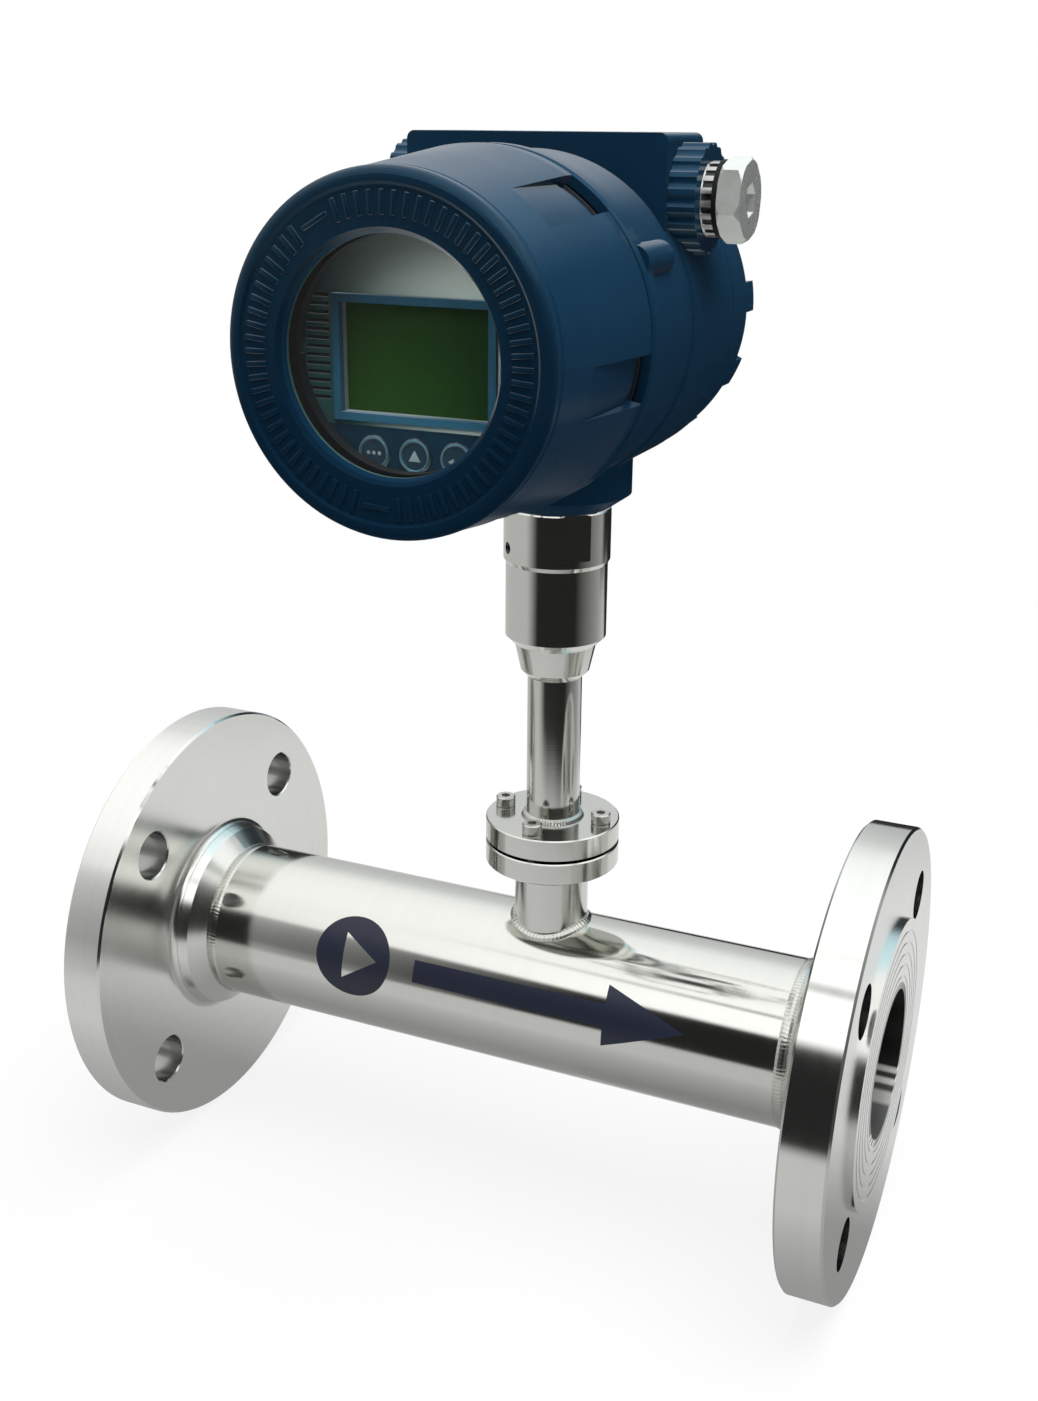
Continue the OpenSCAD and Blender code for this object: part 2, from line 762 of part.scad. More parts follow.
// The cast housing: barrel, neck, conduit block with its two fluted entries and the lugs
module housing_body() color(paint) {
    difference() {
        union() {
            in_head() {
                barrel_outside();
                translate([0, block_up / 2, block_f]) linear_extrude(block_depth)
                    round_rect(2 * block_end, block_up, block_round);
                for (side = [-1, 1]) translate([0, entry_up, entry_fwd]) rotate([0, side * 90, 0])
                    translate([0, 0, block_end - ring_root]) fluted_ring();
                at_front_lock() lock_lug();
                at_rear_lock() lock_lug();
                rotate(earth_turn) translate([thread_r, 0, earth_f]) rotate([0, 90, 0])
                    cylinder(r = earth_boss_r, h = rear_r + earth_boss_out - thread_r);
            }
            at_probe() neck_outside();
        }
        in_head() {
            translate([0, 0, front_floor]) cylinder(r = chamber_r, h = front_len);
            translate([0, 0, front_len - front_skirt - over])
                cylinder(r = thread_r + run_gap, h = front_skirt + 2 * over);
            translate([0, 0, collar_f - seat_depth]) cylinder(r = seat_r, h = seat_depth + over);
            translate([0, 0, -rear_len - neck_r]) cylinder(r = rear_rim_r + cover_clear, h = neck_r);
            translate([0, 0, -rear_len - over]) cylinder(r = chamber_r, h = rear_len + over + bulkhead_f);
            translate([0, 0, -rear_len - over])
                cylinder(r = thread_r + run_gap, h = rear_skirt + 2 * over);
            translate([0, 0, -rear_len - over]) cylinder(r = seat_r, h = rear_seat_depth + over);
            translate([0, 0, bulkhead_f - over]) cylinder(r = feed_r, h = bulkhead_t + 2 * over);
            for (side = [-1, 1]) translate([0, entry_up, entry_fwd]) rotate([0, side * 90, 0]) {
                translate([0, 0, ring_end - entry_thread])
                    cylinder(r = entry_r + thread_gap, h = entry_thread + over);
                translate([0, 0, ring_end - entry_depth])
                    cylinder(r = entry_r - passage_step, h = entry_depth);
                translate([0, 0, ring_end - mouth_edge])
                    cylinder(r1 = entry_r, r2 = entry_r + mouth_edge + over, h = mouth_edge + over);
            }
            at_front_lock() lock_hole();
            at_rear_lock() lock_hole();
            rotate(earth_turn) translate([0, 0, earth_f]) rotate([0, 90, 0])
                translate([0, 0, rear_r + earth_boss_out - earth_bite])
                    cylinder(r = earth_screw_r + thread_gap, h = earth_bite + over);
        }
        at_probe() {
            translate([0, 0, neck_z - over]) cylinder(r = nipple_r, h = neck_seat + over);
            translate([0, 0, neck_z]) cylinder(r = nipple_bore_r, h = neck_len + barrel_wall + neck_root);
        }
    }
    in_head() {
        around(pillar_count, 90) translate([pillar_circle_r, 0, front_floor]) difference() {
            cylinder(r = pillar_r, h = pillar_h);
            cylinder(r = module_screw_r + thread_gap, h = pillar_h + over);
        }
        at_ground() difference() {
            cylinder(r = ground_boss_r, h = ground_boss_h);
            translate([0, 0, -over]) cylinder(r = screw_r + thread_gap, h = ground_boss_h + over);
        }
    }
}

// Set screws, backed off from the covers
module cover_lock_screws() color([0.25, 0.25, 0.25]) in_head() {
    at_front_lock() lock_set_screw();
    at_rear_lock() lock_set_screw();
}

module lock_set_screw() translate([0, 0, cover_screw_sink + cover_screw_len]) rotate([180, 0, 0])
    set_screw(cover_screw_r, cover_screw_len);

module earth_screw() color(steel) in_head() rotate(earth_turn) translate([0, 0, earth_f]) rotate([0, 90, 0])
    translate([0, 0, rear_r + earth_boss_out]) {
        difference() {
            union() {
                cylinder(r = earth_washer_r, h = earth_washer_t);
                translate([0, 0, earth_washer_t]) cylinder(r = earth_head_r, h = earth_head_h, $fn = 6);
                translate([0, 0, tip_gap - earth_bite]) cylinder(r = earth_screw_r, h = earth_bite);
            }
            translate([-earth_head_r, -slot_w / 2, earth_washer_t + earth_head_h - slot_depth])
                cube([2 * earth_head_r, slot_w, slot_depth + over]);
        }
    }

module at_entry() in_head() translate([0, entry_up, entry_fwd]) rotate([0, 90, 0]) translate([0, 0, ring_end])
    children();

// Hexagon head plug: its thread shows between the fluted ring and the head
module conduit_plug() color(steel) at_entry() rotate(plug_turn) difference() {
    head_z0 = plug_show + washer_t;
    union() {
        translate([0, 0, head_z0 - plug_thread_len]) cylinder(r = entry_r, h = plug_thread_len);
        intersection() {
            translate([0, 0, head_z0]) cylinder(r = plug_head_r, h = plug_head_t, $fn = 6);
            translate([0, 0, head_z0]) edged_disc(plug_head_r, plug_head_t, plug_chamfer);
        }
    }
    translate([0, 0, head_z0 + plug_head_t - plug_socket_depth])
        cylinder(r = plug_socket_r, h = plug_socket_depth + over, $fn = 6);
}

module plug_washer() color(rubber) at_entry() translate([0, 0, plug_show]) difference() {
    cylinder(r = washer_r, h = washer_t);
    translate([0, 0, -over]) cylinder(r = entry_r, h = washer_t + 2 * over);
}

// Sealing ring round a cover's skirt, at distance f forward of the probe's axis
module cover_seal(f) color(rubber) in_head() translate([0, 0, f]) rotate_extrude()
    translate([thread_r + seal_r + run_gap, 0]) circle(seal_r);

module front_o_ring() cover_seal(front_len - seal_r - run_gap);

module rear_o_ring() cover_seal(seal_r + run_gap - rear_len - rear_gap);

// Grip cut in the front cover, its floor curved round the head's axis
module cover_cut(floor_r, length) translate([0, 0, front_len - over]) linear_extrude(length) difference() {
    translate([0, -pocket_w / 2]) square([cover_rear_r + over, pocket_w]);
    circle(floor_r);
}

// Deep front cover: flat face with a rounded rim, tapered grip and threaded skirt
module front_cover() color(paint) in_head() difference() {
    rim = [for (i = [0 : arc_steps]) [
        cover_front_r - rim_round * (1 - sin(i * 90 / arc_steps)),
        cover_f - rim_round * (1 - cos(i * 90 / arc_steps))
    ]];
    skirt_f = front_len - front_skirt;
    turned(concat([
        [window_r + bevel, cover_f - rim_rise], [cover_front_r - rim_w - rim_rise, cover_f - rim_rise],
        [cover_front_r - rim_w, cover_f]
    ], rim, [
        [cover_front_r, cover_f - bead_f], [cover_front_r - bead_depth, cover_f - bead_f - bead_w / 2],
        [cover_front_r, cover_f - bead_f - bead_w], [cover_rear_r, front_len + cover_band],
        [cover_rear_r, front_len + edge], [cover_rear_r - edge, front_len], [thread_r, front_len],
        [thread_r, skirt_f], [thread_r - skirt_wall, skirt_f], [chamber_r, front_len],
        [chamber_r, glass_f - window_ring_t], [window_ring_r, glass_f - window_ring_t],
        [window_ring_r, glass_f], [glass_r + glass_gap, glass_f], [glass_r + glass_gap, cover_f - lip_t],
        [window_r, cover_f - lip_t]
    ]));
    around(pocket_count, pocket_turn) {
        cover_cut(pocket_floor, cover_len - bead_f - bead_w);
        cover_cut(notch_floor, notch_len + over);
    }
}

module window_gasket() color(rubber) in_head() translate([0, 0, glass_f + glass_t]) difference() {
    cylinder(r = glass_r, h = window_gasket_t);
    translate([0, 0, -over]) cylinder(r = window_r, h = window_gasket_t + 2 * over);
}

module window_glass() color([0.7, 0.85, 0.8, 0.35]) in_head() translate([0, 0, glass_f])
    edged_disc(glass_r, glass_t, edge);

// Threaded ring that clamps the glass, with two slots for its key
module window_ring() color(steel) in_head() translate([0, 0, glass_f - window_ring_t]) difference() {
    cylinder(r = window_ring_r, h = window_ring_t);
    translate([0, 0, -over]) cylinder(r = window_r, h = window_ring_t + 2 * over);
    translate([-window_ring_r - over, -ring_slot_w / 2, -over])
        cube([2 * (window_ring_r + over), ring_slot_w, ring_slot_depth + over]);
}

// Shallow rear cover: local Z still looks forward, so the skirt is its upper end
module rear_cover() color(paint) in_head() difference() {
    joint_f = -rear_len - rear_gap;
    end_f = -rear_len - rear_cover_len;
    body_f = end_f + lug_len;
    round = [for (i = [0 : arc_steps]) [
        rear_body_r - rear_round * (1 - cos(i * 90 / arc_steps)),
        body_f + rear_round * (1 - sin(i * 90 / arc_steps))
    ]];
    union() {
        turned(concat([
            [0, joint_f + rear_skirt], [thread_r, joint_f + rear_skirt], [thread_r, joint_f],
            [rear_rim_r - edge, joint_f], [rear_rim_r, joint_f - edge],
            [rear_rim_r, joint_f - rear_rim_len + edge],
            [rear_body_r, joint_f - rear_rim_len]
        ], round, [[0, body_f]]));
        translate([0, 0, end_f]) linear_extrude(lug_len + rear_round) intersection() {
            difference() {
                circle(rear_body_r - lug_drop);
                circle(lug_ring_r);
            }
            around(lug_count, lug_turn) translate([0, -lug_w / 2]) square([rear_body_r, lug_w]);
        }
    }
    translate([0, 0, body_f + rear_wall]) cylinder(r = rear_hollow_r, h = rear_cover_len + rear_skirt);
    translate([0, 0, joint_f]) cylinder(r = thread_r - skirt_wall, h = rear_skirt + over);
}

module module_base() color(plastic) in_head() translate([0, 0, module_f]) difference() {
    cylinder(r = module_r, h = base_t);
    around(pillar_count, 90) translate([pillar_circle_r, 0, -over])
        cylinder(r = module_screw_r + hole_gap, h = base_t + 2 * over);
}

module module_screws() color(steel) in_head() around(pillar_count, 90)
    translate([pillar_circle_r, 0, module_f + base_t]) cap_screw(
        base_t + pillar_h - tip_gap, module_screw_r, module_screw_head_r, module_screw_head_h
    );

// Openings that the front wall and the display plate share
module front_openings(frame_margin) {
    translate([0, lcd_up]) square([lcd_w + 2 * frame_margin, lcd_h + 2 * frame_margin], center = true);
    for (i = [-1 : 1]) translate([i * key_step, key_up]) circle(d = key_d + 2 * pass_gap);
}

module module_case() color(plastic) in_head() difference() {
    case_f = module_f + base_t;
    translate([0, 0, case_f]) cylinder(r = module_r, h = case_front_f - case_f);
    translate([0, 0, case_f - over])
        cylinder(r = module_r - module_wall, h = case_front_f - case_front_t - case_f + over);
    translate([0, 0, case_front_f - case_front_t - over]) linear_extrude(case_front_t + 2 * over)
        front_openings(-lcd_frame_w);
}

module display_plate() color([0.6, 0.68, 0.66]) in_head() translate([0, 0, case_front_f]) difference() {
    cylinder(r = module_r - plate_inset, h = plate_t);
    translate([0, 0, -over]) linear_extrude(plate_t + 2 * over) front_openings(fit_gap);
    first = -(louvre_count - 1) / 2 * louvre_pitch - louvre_h / 2;
    for (i = [0 : louvre_count - 1]) translate([louvre_x, first + i * louvre_pitch, plate_t - louvre_depth])
        cube([louvre_w, louvre_h, louvre_depth + over]);
}

module lcd_panel() color([0.08, 0.2, 0.08]) in_head()
    translate([0, lcd_up, case_front_f - case_front_t - lcd_panel_t]) linear_extrude(lcd_panel_t)
        square([lcd_w - lcd_frame_w, lcd_h - lcd_frame_w], center = true);

module lcd_frame() color([0.1, 0.3, 0.45]) in_head() translate([0, lcd_up, case_front_f])
    linear_extrude(plate_t + lcd_rise) difference() {
        square([lcd_w, lcd_h], center = true);
        square([lcd_w - 2 * lcd_frame_w, lcd_h - 2 * lcd_frame_w], center = true);
    }

// A key is a cap with a raised rim, a flange that keeps it in and a stem for its switch
module key(place) color(paint) in_head() translate([place * key_step, key_up, 0]) {
    key_r0 = key_d / 2;
    flange_f = case_front_f - case_front_t - pass_gap;
    top_f = plate_f + key_rise;
    turned([
        [0, flange_f - key_flange_t - key_stem_len], [key_stem_r, flange_f - key_flange_t - key_stem_len],
        [key_stem_r, flange_f - key_flange_t], [key_r0 + key_flange_w, flange_f - key_flange_t],
        [key_r0 + key_flange_w, flange_f], [key_r0, flange_f], [key_r0, top_f + key_ring_h / 2],
        [key_r0 - key_ring_w / 4, top_f + key_ring_h], [key_r0 - key_ring_w * 3 / 4, top_f + key_ring_h],
        [key_r0 - key_ring_w, top_f], [0, top_f]
    ]);
}

module left_key() key(-1);

module middle_key() key(0);

module right_key() key(1);

module main_board() color(board_green) in_head() translate([0, 0, main_board_f])
    cylinder(r = board_r, h = board_t);

module display_board() color(board_green) in_head() translate([0, 0, display_board_f])
    cylinder(r = board_r, h = board_t);

// Two storeys of posts: from the base to the main board, and on to the display board
module board_spacers() color("gold") in_head() around(spacer_count, spacer_turn) {
    upper_f = main_board_f + board_t;
    translate([spacer_circle_r, 0, module_f + base_t]) cylinder(r = spacer_r, h = lower_spacer_h);
    translate([spacer_circle_r, 0, upper_f]) cylinder(r = spacer_r, h = display_board_f - upper_f);
}

module key_switches() color([0.1, 0.1, 0.1]) in_head() for (i = [-1 : 1])
    translate([i * key_step, key_up, display_board_f + board_t]) {
        translate([-switch_w / 2, -switch_w / 2, 0]) cube([switch_w, switch_w, switch_h]);
        translate([0, 0, switch_h]) cylinder(r = plunger_r, h = plunger_h);
    }

module transformer() color([0.15, 0.15, 0.12]) in_head()
    translate([-transformer_w / 2, -transformer_h / 2, main_board_f + board_t])
        cube([transformer_w, transformer_h, transformer_t]);

// Potted lead-through in the wall between the two compartments
module wire_feedthrough() color(rubber) in_head() translate([0, 0, bulkhead_f]) {
    cylinder(r = feed_r, h = bulkhead_t);
    translate([0, 0, bulkhead_t]) cylinder(r = feed_head_r, h = feed_head_h);
}

// Row of screw clamps: the wires go in from below
module terminal_block() color([0.1, 0.35, 0.2]) in_head()
    translate([0, terminal_up, bulkhead_f - terminal_t]) difference() {
        block_len = terminal_ways * terminal_pitch;
        translate([-block_len / 2, -terminal_h / 2, 0]) cube([block_len, terminal_h, terminal_t]);
        for (i = [0 : terminal_ways - 1]) translate([(i + 0.5) * terminal_pitch - block_len / 2, 0, 0]) {
            translate([0, 0, -over]) cylinder(r = terminal_screw_r + thread_gap, h = terminal_screw_sink
                + terminal_screw_len + over);
            translate([0, -terminal_h / 2 - over, terminal_t / 2]) rotate([-90, 0, 0])
                cylinder(r = wire_hole_r, h = wire_hole_depth + over);
        }
    }

module terminal_screws() color(steel) in_head() translate([0, terminal_up, bulkhead_f - terminal_t])
    for (i = [0 : terminal_ways - 1])
        translate([(i + 0.5 - terminal_ways / 2) * terminal_pitch, 0, terminal_screw_sink]) difference() {
            cylinder(r = terminal_screw_r, h = terminal_screw_len);
            translate([-terminal_screw_r, -slot_w / 2, -over])
                cube([2 * terminal_screw_r, slot_w, slot_depth + over]);
        }

module ground_screw() color(steel) in_head() at_ground() rotate([180, 0, 0])
    cap_screw(ground_boss_h - tip_gap, screw_r, head_r, head_h);

inlet_flange();
outlet_flange();
measuring_pipe();
girth_welds();
sensor_socket();
socket_weld();
joint_gasket();
probe_flange();
joint_screws();
stem_weld();
stem_tube();
probe_head();
heated_well();
reference_well();
probe_guard();
stem_coupling();
lead_seal();
swivel_sleeve();
lock_screw();
swivel_nipple();
swivel_o_ring();
housing_body();
cover_lock_screws();
earth_screw();
conduit_plug();
plug_washer();
front_o_ring();
front_cover();
window_gasket();
window_glass();
window_ring();
rear_o_ring();
rear_cover();
module_base();
module_screws();
module_case();
display_plate();
lcd_panel();
lcd_frame();
left_key();
middle_key();
right_key();
main_board();
display_board();
board_spacers();
key_switches();
transformer();
wire_feedthrough();
terminal_block();
terminal_screws();
ground_screw();
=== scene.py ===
"""Looks of an inline thermal mass flow meter: a flanged measuring pipe of polished steel,
a probe on a bolted joint, and a painted cast head with a window over its display.
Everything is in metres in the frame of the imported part: gas flows along +X, the display
looks towards -Y, and +Z is up."""
import math

import bmesh
import bpy
from mathutils import Matrix, Vector


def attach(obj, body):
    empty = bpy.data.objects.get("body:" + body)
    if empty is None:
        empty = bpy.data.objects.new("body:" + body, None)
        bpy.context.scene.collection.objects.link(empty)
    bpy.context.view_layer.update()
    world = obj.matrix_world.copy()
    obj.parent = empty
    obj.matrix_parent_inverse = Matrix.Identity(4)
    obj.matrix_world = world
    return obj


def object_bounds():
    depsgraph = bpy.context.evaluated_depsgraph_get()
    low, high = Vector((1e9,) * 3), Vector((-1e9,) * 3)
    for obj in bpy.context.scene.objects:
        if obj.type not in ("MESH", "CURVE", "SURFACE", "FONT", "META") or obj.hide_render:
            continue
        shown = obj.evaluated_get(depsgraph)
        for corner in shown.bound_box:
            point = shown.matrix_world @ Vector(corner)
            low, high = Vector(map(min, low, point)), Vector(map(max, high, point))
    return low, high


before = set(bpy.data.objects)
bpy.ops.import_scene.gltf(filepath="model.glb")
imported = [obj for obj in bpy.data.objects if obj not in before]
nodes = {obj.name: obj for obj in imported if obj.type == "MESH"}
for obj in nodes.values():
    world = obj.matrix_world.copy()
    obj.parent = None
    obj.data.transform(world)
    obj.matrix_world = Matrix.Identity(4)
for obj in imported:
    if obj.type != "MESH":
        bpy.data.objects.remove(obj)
cad_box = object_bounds()

# The camera stands where the photographer stood: to the right, a little above the pipe,
# with a lens of about 41 mm.
camera_place = Vector((0.36080, -0.48757, 0.30508))
camera_back = Vector((0.3785, -0.8606, 0.3408)).normalized()
camera_roll = 0.0084
camera_lens = 40.98
sensor_width = 36
nearest_seen = 0.01

level_right = Vector((0, 0, 1)).cross(camera_back).normalized()
level_up = camera_back.cross(level_right)
camera_right = math.cos(camera_roll) * level_right + math.sin(camera_roll) * level_up
camera_up = camera_back.cross(camera_right)
camera = bpy.data.objects.new("camera", bpy.data.cameras.new("camera"))
camera.data.lens = camera_lens
camera.data.sensor_width = sensor_width
camera.data.clip_start = nearest_seen
camera.matrix_world = Matrix.Translation(camera_place) @ Matrix(
    (camera_right, camera_up, camera_back)).transposed().to_4x4()
bpy.context.scene.collection.objects.link(camera)
bpy.context.scene.camera = camera


# Floor and backdrop: seamless white paper, which the camera sees as white and which keeps a
# soft shadow under the flanges. Bright metal sees it light close by, with a painted shadow
# under the pipe, and, past the edge of the lit paper, as dark as the black cards round the set.
floor_gap = 0.0002
floor_level = cad_box[0][2] - floor_gap
floor_reach = 6.0
floor_centre = (0.16, 0.0)
white = (1, 1, 1, 1)
paper_white = (0.5, 0.5, 0.5, 1)
# white share of the paper near the object and far from it, and where it changes
paper_glow = (0.86, 1.0)
paper_glow_edge = (0.35, 1.0)
# how bright polished metal sees the far paper and the cards, and where the paper ends
paper_seen_far = 0.60
card_seen = 0.02
card_edge = (0.40, 0.54)
rear_card_edge = (0.82, 1.0)
# painted shadow under the pipe for metal: from and to this distance in front, this share of the light
# is left
shadow_edge = (0.03, 0.15)
shadow_light = (0.5, 1.0)
shadow_behind = 2.0
# by azimuth from the front, in degrees: the share of a direction that the cards take up, the
# light of the near paper, the share of the rear cards, and how much nearer each edge lies
carded = [(-180, 0), (-46, 0), (-36, 0.35), (-30, 0.62), (-20, 1), (66, 1), (84, 0.82), (128, 0.4),
          (152, 0), (180, 0)]
paper_near = [(-180, 0.80), (-125, 0.7), (-60, 0.68), (-20, 0.68), (60, 0.6), (100, 0.65),
              (140, 0.82), (180, 0.82)]
rear_carded = [(-180, 1), (-165, 1), (-155, 0), (126, 0), (142, 1), (180, 1)]
card_nearer = [(-180, 1.1), (-120, 1.0), (-27, 1.02), (-3, 1.12), (22, 1.13), (46, 1.2),
               (118, 1.25), (167, 1.12), (180, 1.1)]
rear_nearer = [(-180, 2.1), (150, 1.0), (160, 1.0), (166, 1.3), (172, 2.1), (180, 2.1)]


def add(tree, kind, inputs=None, **settings):
    made = tree.nodes.new("ShaderNode" + kind)
    for name, value in settings.items():
        setattr(made, name, value)
    for name, value in (inputs or {}).items():
        if isinstance(value, bpy.types.NodeSocket):
            tree.links.new(value, made.inputs[name])
        else:
            made.inputs[name].default_value = value
    return made


def maths(tree, operation, *values):
    return add(tree, "Math", dict(enumerate(values)), operation=operation).outputs[0]


# a grey that follows a value through its stops
def ramp(tree, value, stops):
    low, high = stops[0][0], stops[-1][0]
    made = add(tree, "ValToRGB", {"Fac": add(tree, "MapRange", {
        "Value": value, "From Min": low, "From Max": high}).outputs[0]})
    steps = made.color_ramp.elements
    for number, (place, shade) in enumerate(stops):
        share = (place - low) / (high - low)
        if number == 0:
            step = steps[0]
        elif number == len(stops) - 1:
            step = steps[-1]
        else:
            step = steps.new(share)
        step.position = share
        step.color = (shade, shade, shade, 1)
    return made.outputs["Color"]


# what the camera sees by itself or through glass, but not by way of another surface
def seen_directly(tree, rays):
    bounced = maths(tree, "ADD", rays["Diffuse Depth"], rays["Glossy Depth"])
    return maths(tree, "MULTIPLY", maths(tree, "LESS_THAN", bounced, 0.5), maths(
        tree, "MAXIMUM", rays["Is Camera Ray"], rays["Is Transmission Ray"]))


def new_group(name, inputs, outputs):
    made = bpy.data.node_groups.new(name, "ShaderNodeTree")
    for label, kind, value in inputs:
        socket = made.interface.new_socket(label, in_out="INPUT", socket_type="NodeSocket" + kind)
        if value is not None:
            socket.default_value = value
    for label, kind in outputs:
        made.interface.new_socket(label, in_out="OUTPUT", socket_type="NodeSocket" + kind)
    given = made.nodes.new("NodeGroupInput").outputs
    return made, given, made.nodes.new("NodeGroupOutput").inputs


# direction seen from above, in degrees from the front towards the right
def azimuth_of(tree, parts):
    return maths(tree, "DEGREES", maths(
        tree, "ARCTAN2", parts[0], maths(tree, "MULTIPLY", parts[1], -1.0)))


# low before the edge and high past it, with a straight change between its two places
def stepped(tree, value, edge, low=0.0, high=1.0):
    return add(tree, "MapRange", {
        "Value": value, "From Min": edge[0], "From Max": edge[1],
        "To Min": low, "To Max": high}).outputs[0]


def use_group(tree, group, **inputs):
    made = tree.nodes.new("ShaderNodeGroup")
    made.node_tree = group
    for name, value in inputs.items():
        if isinstance(value, bpy.types.NodeSocket):
            tree.links.new(value, made.inputs[name])
        else:
            made.inputs[name].default_value = value
    return made.outputs


# which share of a direction the black cards take up
card_share, given, out = new_group("card_share", [("Vector", "Vector", None)], [("Share", "Float")])
azimuth = azimuth_of(card_share, add(card_share, "SeparateXYZ", {0: given["Vector"]}).outputs)
card_share.links.new(ramp(card_share, azimuth, carded), out["Share"])

bpy.ops.object.select_all(action="DESELECT")
bpy.ops.mesh.primitive_plane_add(size=2 * floor_reach, location=(*floor_centre, floor_level))
floor = bpy.context.object
floor.name = "floor"
paper = bpy.data.materials.new("white_paper")
paper.use_nodes = True
tree = paper.node_tree
tree.nodes.clear()
place = add(tree, "TexCoord").outputs["Object"]
reach = add(tree, "VectorMath", {0: place}, operation="LENGTH").outputs["Value"]
rays = add(tree, "LightPath").outputs
straight = seen_directly(tree, rays)
white_share = stepped(tree, reach, paper_glow_edge, *paper_glow)
share = maths(tree, "MAXIMUM", maths(tree, "MULTIPLY", straight, white_share), rays["Is Glossy Ray"])
parts = add(tree, "SeparateXYZ", {0: place}).outputs
azimuth = azimuth_of(tree, parts)
carded_here = use_group(tree, card_share, Vector=place)["Share"]
past_rear_edge = stepped(
    tree, maths(tree, "MULTIPLY", reach, ramp(tree, azimuth, rear_nearer)), rear_card_edge)
rear_here = maths(tree, "MULTIPLY", past_rear_edge, ramp(tree, azimuth, rear_carded))
dark_here = maths(tree, "MAXIMUM", carded_here, rear_here)
far_level = maths(tree, "MULTIPLY_ADD", dark_here, card_seen - paper_seen_far, paper_seen_far)
past_edge = stepped(tree, maths(tree, "MULTIPLY", reach, ramp(tree, azimuth, card_nearer)), card_edge)
# painted shadow under the pipe, in the light that metal sees on the paper
from_pipe = maths(tree, "MAXIMUM", maths(tree, "MULTIPLY", parts[1], -1.0), maths(
    tree, "MULTIPLY", parts[1], shadow_behind))
shadowed = stepped(tree, from_pipe, shadow_edge, *shadow_light)
near_level = maths(tree, "MULTIPLY", ramp(tree, azimuth, paper_near), shadowed)
metal_level = add(tree, "Mix", {0: past_edge, 2: near_level, 3: far_level}).outputs[0]
level = add(tree, "Mix", {0: rays["Is Glossy Ray"], 2: 1.0, 3: metal_level}).outputs[0]
matt = add(tree, "BsdfDiffuse", {"Color": paper_white})
glow = add(tree, "Emission", {"Color": white, "Strength": level})
mixed = add(tree, "MixShader", {0: share, 1: matt.outputs[0], 2: glow.outputs[0]})
tree.links.new(mixed.outputs[0], add(tree, "OutputMaterial").inputs["Surface"])
paper.cycles.emission_sampling = "NONE"
floor.data.materials.append(paper)

# Soft studio light: four wide lamps for the paint and plastics, and round them the white
# room with its black cards and its long bright box, which polished metal shows as bands.
lamps = [
    # name, azimuth, elevation, distance, width, height, radiance
    ("front_lamp", -38, 28, 2.2, 1.3, 0.9, 2.7),
    ("over_lamp", 65, 74, 2.0, 2.0, 1.6, 11.0),
    ("right_lamp", 98, 26, 2.2, 1.2, 1.4, 1.1),
    ("left_lamp", -105, 30, 2.2, 1.2, 1.4, 0.4),
]
room_level = 0.3
light_target = Vector((0.15, 0, 0.08))
# by elevation in degrees: the light over the cards with their bright box, the light of the
# open room, and where the rear card ends
card_sky = [(-6, card_seen), (29.5, card_seen), (33.5, 1.45), (54.5, 1.5), (56, 0.5), (58, 0.5),
            (59.5, 1.45), (71.5, 1.45), (73, 0.8), (74.5, 1.4), (90, 1.4)]
open_sky = [(-6, 0.60), (8, 0.66), (25, 0.8), (35, 1.0), (45, 1.2), (60, 1.3), (90, 1.4)]
rear_card_top = [(-6, 0), (20, 0), (34, 1), (90, 1)]
# by azimuth in degrees: the light that the rear card leaves, and the share of its blue
rear_card = [(-180, 0.4), (-174, 0.8), (-168, 1), (-140, 1), (-126, 0.35), (-106, 0.35), (-92, 1),
             (126, 1), (142, 0.04), (176, 0.04), (180, 0.4)]
rear_blue_share = [(-180, 0.5), (-172, 0.08), (-150, 0.08), (-140, 0), (140, 0), (155, 1), (172, 1),
                   (180, 0.6)]
rear_blue = (0.62, 0.88, 1.0, 1)

for name, azimuth, elevation, distance, width, height, radiance in lamps:
    lamp = bpy.data.lights.new(name, "AREA")
    lamp.shape = "RECTANGLE"
    lamp.size = width
    lamp.size_y = height
    lamp.energy = radiance * width * height * math.pi
    box = bpy.data.objects.new(name, lamp)
    turn = math.radians(azimuth)
    rise = math.radians(elevation)
    away = Vector((
        math.sin(turn) * math.cos(rise), -math.cos(turn) * math.cos(rise), math.sin(rise)))
    facing = away.to_track_quat("Z", "Y").to_matrix().to_4x4()
    box.matrix_world = Matrix.Translation(light_target + distance * away) @ facing
    box.visible_glossy = False
    bpy.context.scene.collection.objects.link(box)

world = bpy.data.worlds.new("white_room")
bpy.context.scene.world = world
world.use_nodes = True
tree = world.node_tree
tree.nodes.clear()
looking = add(tree, "TexCoord").outputs["Generated"]
parts = add(tree, "SeparateXYZ", {0: looking}).outputs
elevation = maths(tree, "DEGREES", maths(tree, "ARCSINE", parts[2]))
azimuth = azimuth_of(tree, parts)
carded_here = use_group(tree, card_share, Vector=looking)["Share"]
dimmed = maths(tree, "MAXIMUM", ramp(tree, azimuth, rear_card), ramp(tree, elevation, rear_card_top))
open_level = maths(tree, "MULTIPLY", ramp(tree, elevation, open_sky), dimmed)
room = add(tree, "Mix", {0: carded_here, 2: open_level, 3: ramp(tree, elevation, card_sky)}).outputs[0]
rays = add(tree, "LightPath").outputs
plain = add(tree, "Background", {"Color": white, "Strength": room_level})
hue = add(tree, "Mix", {0: ramp(tree, azimuth, rear_blue_share), 6: white, 7: rear_blue},
          data_type="RGBA").outputs[2]
shaded = add(tree, "Background", {"Color": hue, "Strength": room})
backdrop = add(tree, "Background", {"Color": white, "Strength": 1.0})
direct = seen_directly(tree, rays)
lit = add(tree, "MixShader", {0: rays["Is Glossy Ray"], 1: plain.outputs[0], 2: shaded.outputs[0]})
